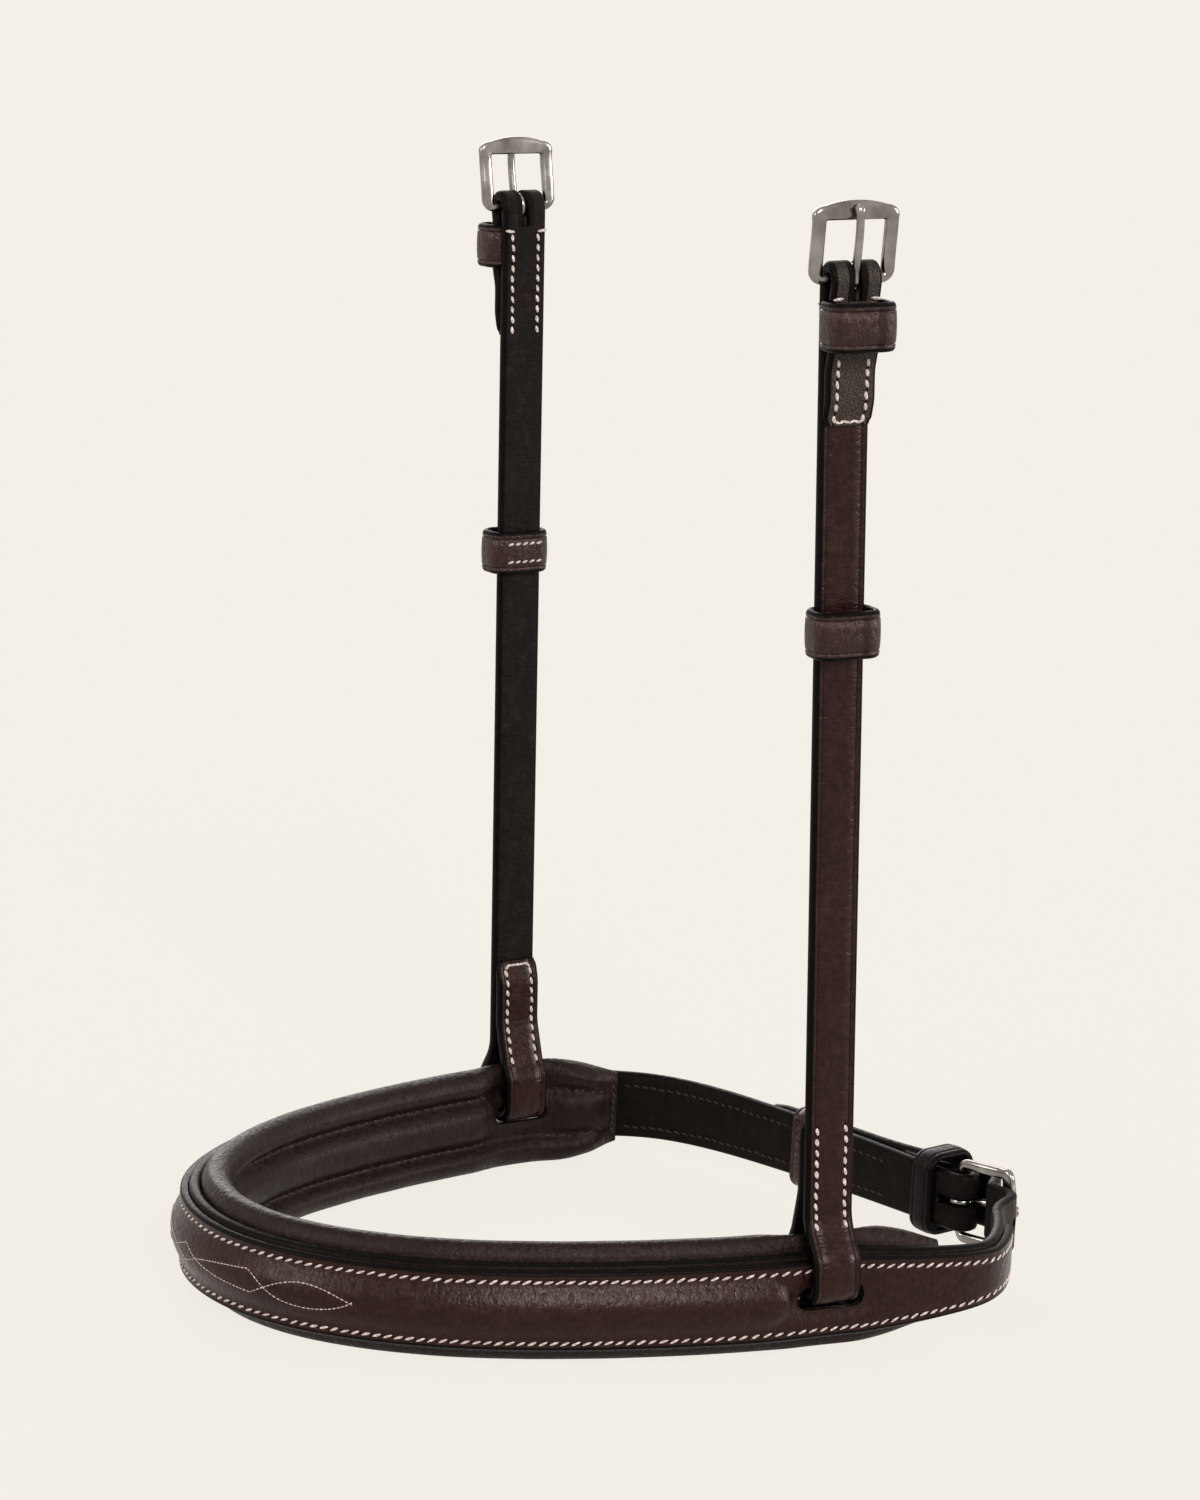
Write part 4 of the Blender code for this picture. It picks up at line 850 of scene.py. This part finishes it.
# Each loop's inner and outer face inside, half the room across, its width and its corners
FIXED_LOOP = (0.0035, 0.0117, 0.0069, KEEPER_WIDTH, 0.0026)
SLIDING_LOOP = (-0.0016, 0.0067, 0.0069, KEEPER_WIDTH, 0.0026)
HOOP_CREASE, HOOP_CROWN = 0.00030, 0.0004


def ways_round(path):
    """The way at each point of a closed line."""
    ways = np.roll(path, -1, axis=0) - np.roll(path, 1, axis=0)
    return ways / np.linalg.norm(ways, axis=1)[:, None]


def hoop(name, at, inner, outer, half_room, width, corner, colour):
    """A closed loop of leather from inner to outer, measured outward, creased along each edge."""
    half_wall = KEEPER_WALL / 2
    radius = corner + half_wall
    x0, x1, side = inner - half_wall, outer + half_wall, half_room + half_wall
    left, right, side = x0 + radius, x1 - radius, side - radius
    centres = ((right, side, 0), (left, side, 90), (left, -side, 180), (right, -side, 270))
    corners = [bend(x, y, radius, start, start + 90, 8) for x, y, start in centres]
    line = []
    for corner_line, following in zip(corners, corners[1:] + corners[:1]):
        line += [*corner_line, *np.linspace(corner_line[-1], following[0], 6)[1:-1]]
    path = np.array(line)
    arcs, ways = lengths_along(path), ways_round(path)
    section, zones = strap_section(width / 2, -half_wall, half_wall, HOOP_CREASE)

    def place(row, column):
        out, along = section[column]
        bulge = HOOP_CROWN * (1 - (2 * along / width) ** 2) * (1 if out > 0 else 0.4)
        x, y = beside(path, ways, row, out + bulge)
        return at @ Vector((x, y, along)), Vector((arcs[row], along, out))

    return skin(name, place, len(path), len(section), [colour, EDGE, FLESH], zones, closed=True)


KEEPER = leather(
    "keeper_leather", (0.0200, 0.0068, 0.0056), (0.0340, 0.0120, 0.0100), 0.32, 0.32, 1.0, 0.8, 0.5
)


def back_stitches(name, at, inner, body):
    """Two rows of stitches across the back of a runner, where its ends lap."""
    stitches = []
    normal, across, along = -at.to_3x3().col[0], at.to_3x3().col[1], at.to_3x3().col[2]
    for up in (0.0026, -0.0024):
        for k in range(5):
            middle = at @ Vector((inner - KEEPER_WALL - 0.0002, (k - 2) * 0.0022, up))
            stitches.append((middle, across + along * 0.3, normal, 0.0019, 0.0008))
    sew(name, stitches, THREAD, body)


for side, at in HANGERS.items():
    fixed = at @ Matrix.Translation((0, 0, BARS_UP[side] - KEEPER_DROP))
    keeper = hoop(side + "_keeper", fixed, *FIXED_LOOP, KEEPER)
    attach(keeper, side + "_hanger")
    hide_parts(side + "_fixed_keeper")
    sliding = at @ Matrix.Translation((0, 0, BARS_UP[side] - RUNNER_DROPS[side]))
    runner = hoop(side + "_sliding_loop", sliding, *SLIDING_LOOP, KEEPER)
    back_stitches(side + "_loop_stitches", sliding, SLIDING_LOOP[0], side + "_runner")
    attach(runner, side + "_runner")
    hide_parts(side + "_runner")


# Buckles: cast stainless steel, filed and polished. The frame has a round heel bar in the fold, flat
# bevelled sides and a wide bowed end bar, and its bent tongue rests on the end bar with a round tip.
BAR_RADIUS = 0.0013
FRAME_THICK, FRAME_CORNER, FRAME_HEEL = 0.0011, 0.0017, 0.0018
WIRE_RADIUS, TIP_LONG = 0.0010, 0.0010
# Half the room inside the frame, its reach from bar to end, and how far its end bar bows outward
FRAME_ROOM, FRAME_REACH, FRAME_ARCH, SIDE_WIDTH = 0.0078, 0.0164, 0.0020, 0.0034
# Hair scratches and dull patches from handling. Both tones are darker than bare steel: painted shade for the
# dark surroundings that it reflects.
STEEL, tree, shader, source = new_finish("polished_stainless")
dull = noise(tree, source, 150, 4)
scratches = noise(tree, source, 900, 5, (1, 14, 1), 0.3, 0.7)
colour = mixed(tree, dull, (0.175, 0.158, 0.148), (0.340, 0.318, 0.304))
wire(tree, shader, {"Base Color": colour, "Roughness": ranged(tree, dull, 0.13, 0.24)})
wire(tree, shader, {"Normal": bumped(tree, scratches, 0.00002, 0.25), "Metallic": 1.0})


def buckle(spot, at, half_room, reach, arch, side_width):
    """A frame in one piece: at takes outward, across and along."""
    half_side = side_width / 2
    side, top_half, corner_half = half_room + half_side, 0.0024, 0.0018
    corner_line = reach - (top_half - corner_half)
    bar_end = 0.85 * half_room
    stations = [(x, 0.0, BAR_RADIUS, BAR_RADIUS) for x in np.linspace(-bar_end, bar_end, 7)]
    for x, y in bend(side - FRAME_HEEL, FRAME_HEEL, FRAME_HEEL, -90, 0, 8):
        share = y / FRAME_HEEL
        half, thick = (BAR_RADIUS + (size - BAR_RADIUS) * share for size in (half_side, FRAME_THICK))
        stations.append((x, y, half, thick))
    corner_start = corner_line - FRAME_CORNER
    stations += [(side, y, half_side, FRAME_THICK) for y in np.linspace(FRAME_HEEL, corner_start, 8)[1:-1]]
    for x, y in bend(side - FRAME_CORNER, corner_start, FRAME_CORNER, 0, 90, 8):
        share = (y - corner_line + FRAME_CORNER) / FRAME_CORNER
        fuller = 1 + 0.20 * math.sin(math.pi * min(share, 1))
        stations.append((x, y, (half_side + (corner_half - half_side) * share) * fuller, FRAME_THICK))
    for share in np.linspace(1, 0, 9)[1:]:
        crown = 1 - share**2
        half = corner_half + (top_half - corner_half) * crown
        y = corner_line + (reach - corner_line) * crown
        stations.append(((side - FRAME_CORNER) * share, y, half, FRAME_THICK))
    stations += [(-x, y, half, thick) for x, y, half, thick in reversed(stations[7:-1])]
    path = np.array([station[:2] for station in stations])
    arcs, ways = lengths_along(path), ways_round(path)
    angles = [math.tau * (k + 0.5) / 16 for k in range(16)]

    def place(row, column):
        x, y, half, thick = stations[row]
        c, s = math.cos(angles[column]), math.sin(angles[column])
        square = min(1.0, y / FRAME_HEEL) * 0.38
        c, s = math.copysign(abs(c) ** (1 - square), c), math.copysign(abs(s) ** (1 - square), s)
        across, along = beside(path, ways, row, half * c)
        bow = arch * float(smooth(y / reach))
        return at @ Vector((bow + thick * s, across, along)), Vector((arcs[row], c * half, s * thick))

    frame_piece = skin(spot + "_frame", place, len(stations), 16, [STEEL], closed=True)
    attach(frame_piece, spot + "_buckle")
    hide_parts(spot + "_buckle_frame")


def tongue(spot, at, reach, arch):
    """A wire pin with an eye round the heel bar, bent to rest on the end bar and rounded at its tip."""
    rest, eye = arch + FRAME_THICK + 0.0013, BAR_RADIUS + 0.0013
    line = [(rest - 0.0002, reach + 0.0016), (rest, reach - 0.0024)]
    line += [(eye + (rest - eye) * 0.35, reach * 0.35)] + bend(0, 0, eye, 10, -295, 24)
    wire = natural_line(line, 4)
    arcs, ways = lengths_along(wire), ways_along(wire)

    def place(row, column):
        angle = math.tau * column / 12
        size = WIRE_RADIUS * math.sqrt(max(1 - max(1 - arcs[row] / TIP_LONG, 0) ** 2, 0.02))
        size *= 1 + 0.10 * math.exp(-(((arcs[row] - 0.0015) / 0.0015) ** 2))
        wide = 1 + 0.45 * math.exp(-(((arcs[row] - 0.0012) / 0.0011) ** 2))
        x, y = beside(wire, ways, row, size * math.cos(angle))
        size *= 1 + 0.16 * math.exp(-(((wire[row][1] - reach * 0.40) / 0.0007) ** 2))
        z = size * wide * math.sin(angle)
        return at @ Vector((x, z, y)), Vector((arcs[row], size * math.cos(angle), z))

    pin = skin(spot + "_pin", place, len(wire), 12, [STEEL])
    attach(pin, spot + "_tongue")
    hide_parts(spot + "_buckle_tongue")


for side, at in HANGERS.items():
    heel = at @ Matrix.Translation((BAR_OUT, 0, BARS_UP[side]))
    buckle(side, heel, FRAME_ROOM, FRAME_REACH, FRAME_ARCH, SIDE_WIDTH)
    tongue(side, heel, FRAME_REACH, FRAME_ARCH)


# Chin closure: a smaller buckle of the same steel in the turned end of the main strap. A black fixed
# keeper is sewn behind it, and a brown runner further on holds the billet's tip.
CHIN_ROOM, CHIN_REACH, CHIN_ARCH, CHIN_SIDE = 0.0089, 0.0155, 0.0025, 0.0028
BLACK_ARC, BROWN_ARC = 0.0095, 0.0550
BLACK_LOOP = (-0.0019, 0.0112, 0.0096, 0.0080, 0.0030)
BROWN_LOOP = (-0.0023, 0.0080, 0.0096, 0.0110, 0.0021)
chin_at = seat(chin_place(0, 0), CHIN_OUT.to_3d(), (0, 0, 1), CHIN_ALONG.to_3d())
buckle("chin", chin_at, CHIN_ROOM, CHIN_REACH, CHIN_ARCH, CHIN_SIDE)
tongue("chin", chin_at, CHIN_REACH, CHIN_ARCH)


def band_seat(arc):
    """A seat on the band at a length from the chin bar."""
    way = band_way(arc)
    return seat(on_band(arc, 0, 0), (way.y, -way.x, 0), (0, 0, 1), (way.x, way.y, 0))


BLACK = leather("black_keeper", (0.0020, 0.0019, 0.0018), (0.0046, 0.0042, 0.0040), 0.40, 0.12, 0.5, 0.3, 0.4)
black_keeper = hoop("black_keeper", band_seat(BLACK_ARC), *BLACK_LOOP, BLACK)
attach(black_keeper, "band")
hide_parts("chin_fixed_keeper")
chin_loop = hoop("chin_loop", band_seat(BROWN_ARC), *BROWN_LOOP, KEEPER)
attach(chin_loop, "chin_runner")
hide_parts("chin_runner")


# Stage: a level sheet of cream paper under four soft studio lamps, seen by the camera that took the photo.
# It isn't part of the noseband. The paper keeps the shadow, and shows evenly bright to the camera.
CREAM, CREAM_GLOW = (0.905, 0.863, 0.795), 1.028
PLAIN_SHARE, PLAIN_TONE = 0.10, 0.75
ROOM_GLOW = 0.34
form = bmesh.new()
bmesh.ops.create_grid(form, x_segments=1, y_segments=1, size=20.0)
paper = bpy.data.materials.new("cream_paper")
paper.use_nodes = True
tree = paper.node_tree
shader = tree.nodes["Principled BSDF"]
wire(tree, shader, {"Base Color": (*toned(CREAM, PLAIN_TONE), 1.0), "Roughness": 0.9})
glow = added(tree, "Emission", {"Color": (*CREAM, 1.0), "Strength": CREAM_GLOW})


def shown(tree, end, share, plain, seen):
    """Shows the second finish to the rays that see the background, straight, mirrored or let through."""
    rays = added(tree, "LightPath", {}).outputs
    factor = rays["Is Camera Ray"]
    for kind in ("Is Glossy Ray", "Is Transmission Ray"):
        factor = added(tree, "Math", {0: factor, 1: rays[kind]}, operation="MAXIMUM").outputs["Value"]
    part = added(tree, "Math", {0: factor, 1: share}, operation="MULTIPLY").outputs["Value"]
    blend = added(tree, "MixShader", {"Fac": part, 1: plain, 2: seen}).outputs["Shader"]
    wire(tree, tree.nodes[end], {"Surface": blend})


shown(tree, "Material Output", 1 - PLAIN_SHARE, shader.outputs["BSDF"], glow.outputs["Emission"])
floor = finished("floor", form, [paper])

world = bpy.data.worlds.new("studio")
bpy.context.scene.world = world
world.use_nodes = True
tree = world.node_tree
around = tree.nodes["Background"]
wire(tree, around, {"Color": (1.0, 0.97, 0.93, 1.0), "Strength": ROOM_GLOW})
backdrop = added(tree, "Background", {"Color": (*CREAM, 1.0)})
shown(tree, "World Output", 1.0, around.outputs["Background"], backdrop.outputs["Background"])


def soft_lamp(name, source, strength, spread):
    """A studio lamp so far off that it lights the whole stage alike, and so wide that its shadow is soft."""
    light = bpy.data.lights.new(name, "SUN")
    light.energy, light.angle = strength, math.radians(spread)
    lamp = bpy.data.objects.new(name, light)
    lamp.rotation_euler = Vector(source).to_track_quat("Z", "Y").to_euler()
    bpy.context.scene.collection.objects.link(lamp)


soft_lamp("key_lamp", (0.86, -0.14, 0.50), 1.7, 20)
soft_lamp("nose_lamp", (0.05, -0.92, 0.40), 1.0, 24)
soft_lamp("chin_lamp", (0.50, 0.82, 0.22), 1.2, 20)
soft_lamp("off_lamp", (-0.86, 0.24, 0.34), 1.0, 36)

# The photo's camera, fitted to the strap widths and the outline of the band in the photo
CAMERA_AT = (0.9230, -0.4595, 0.3556)
AZIMUTH, PITCH, ROLL = math.radians(63.449), math.radians(11.867), math.radians(2.136)
LENS = 97.15
aim = Matrix.Rotation(AZIMUTH, 4, "Z") @ Matrix.Rotation(math.pi / 2 - PITCH, 4, "X")
camera = bpy.data.objects.new("photo_camera", bpy.data.cameras.new("photo_camera"))
camera.data.lens = LENS
camera.data.sensor_width = 36.0
camera.data.clip_end = 60.0
camera.matrix_world = Matrix.Translation(Vector(CAMERA_AT)) @ aim @ Matrix.Rotation(ROLL, 4, "Z")
bpy.context.scene.collection.objects.link(camera)
bpy.context.scene.camera = camera
bpy.context.scene.view_settings.view_transform = "Standard"
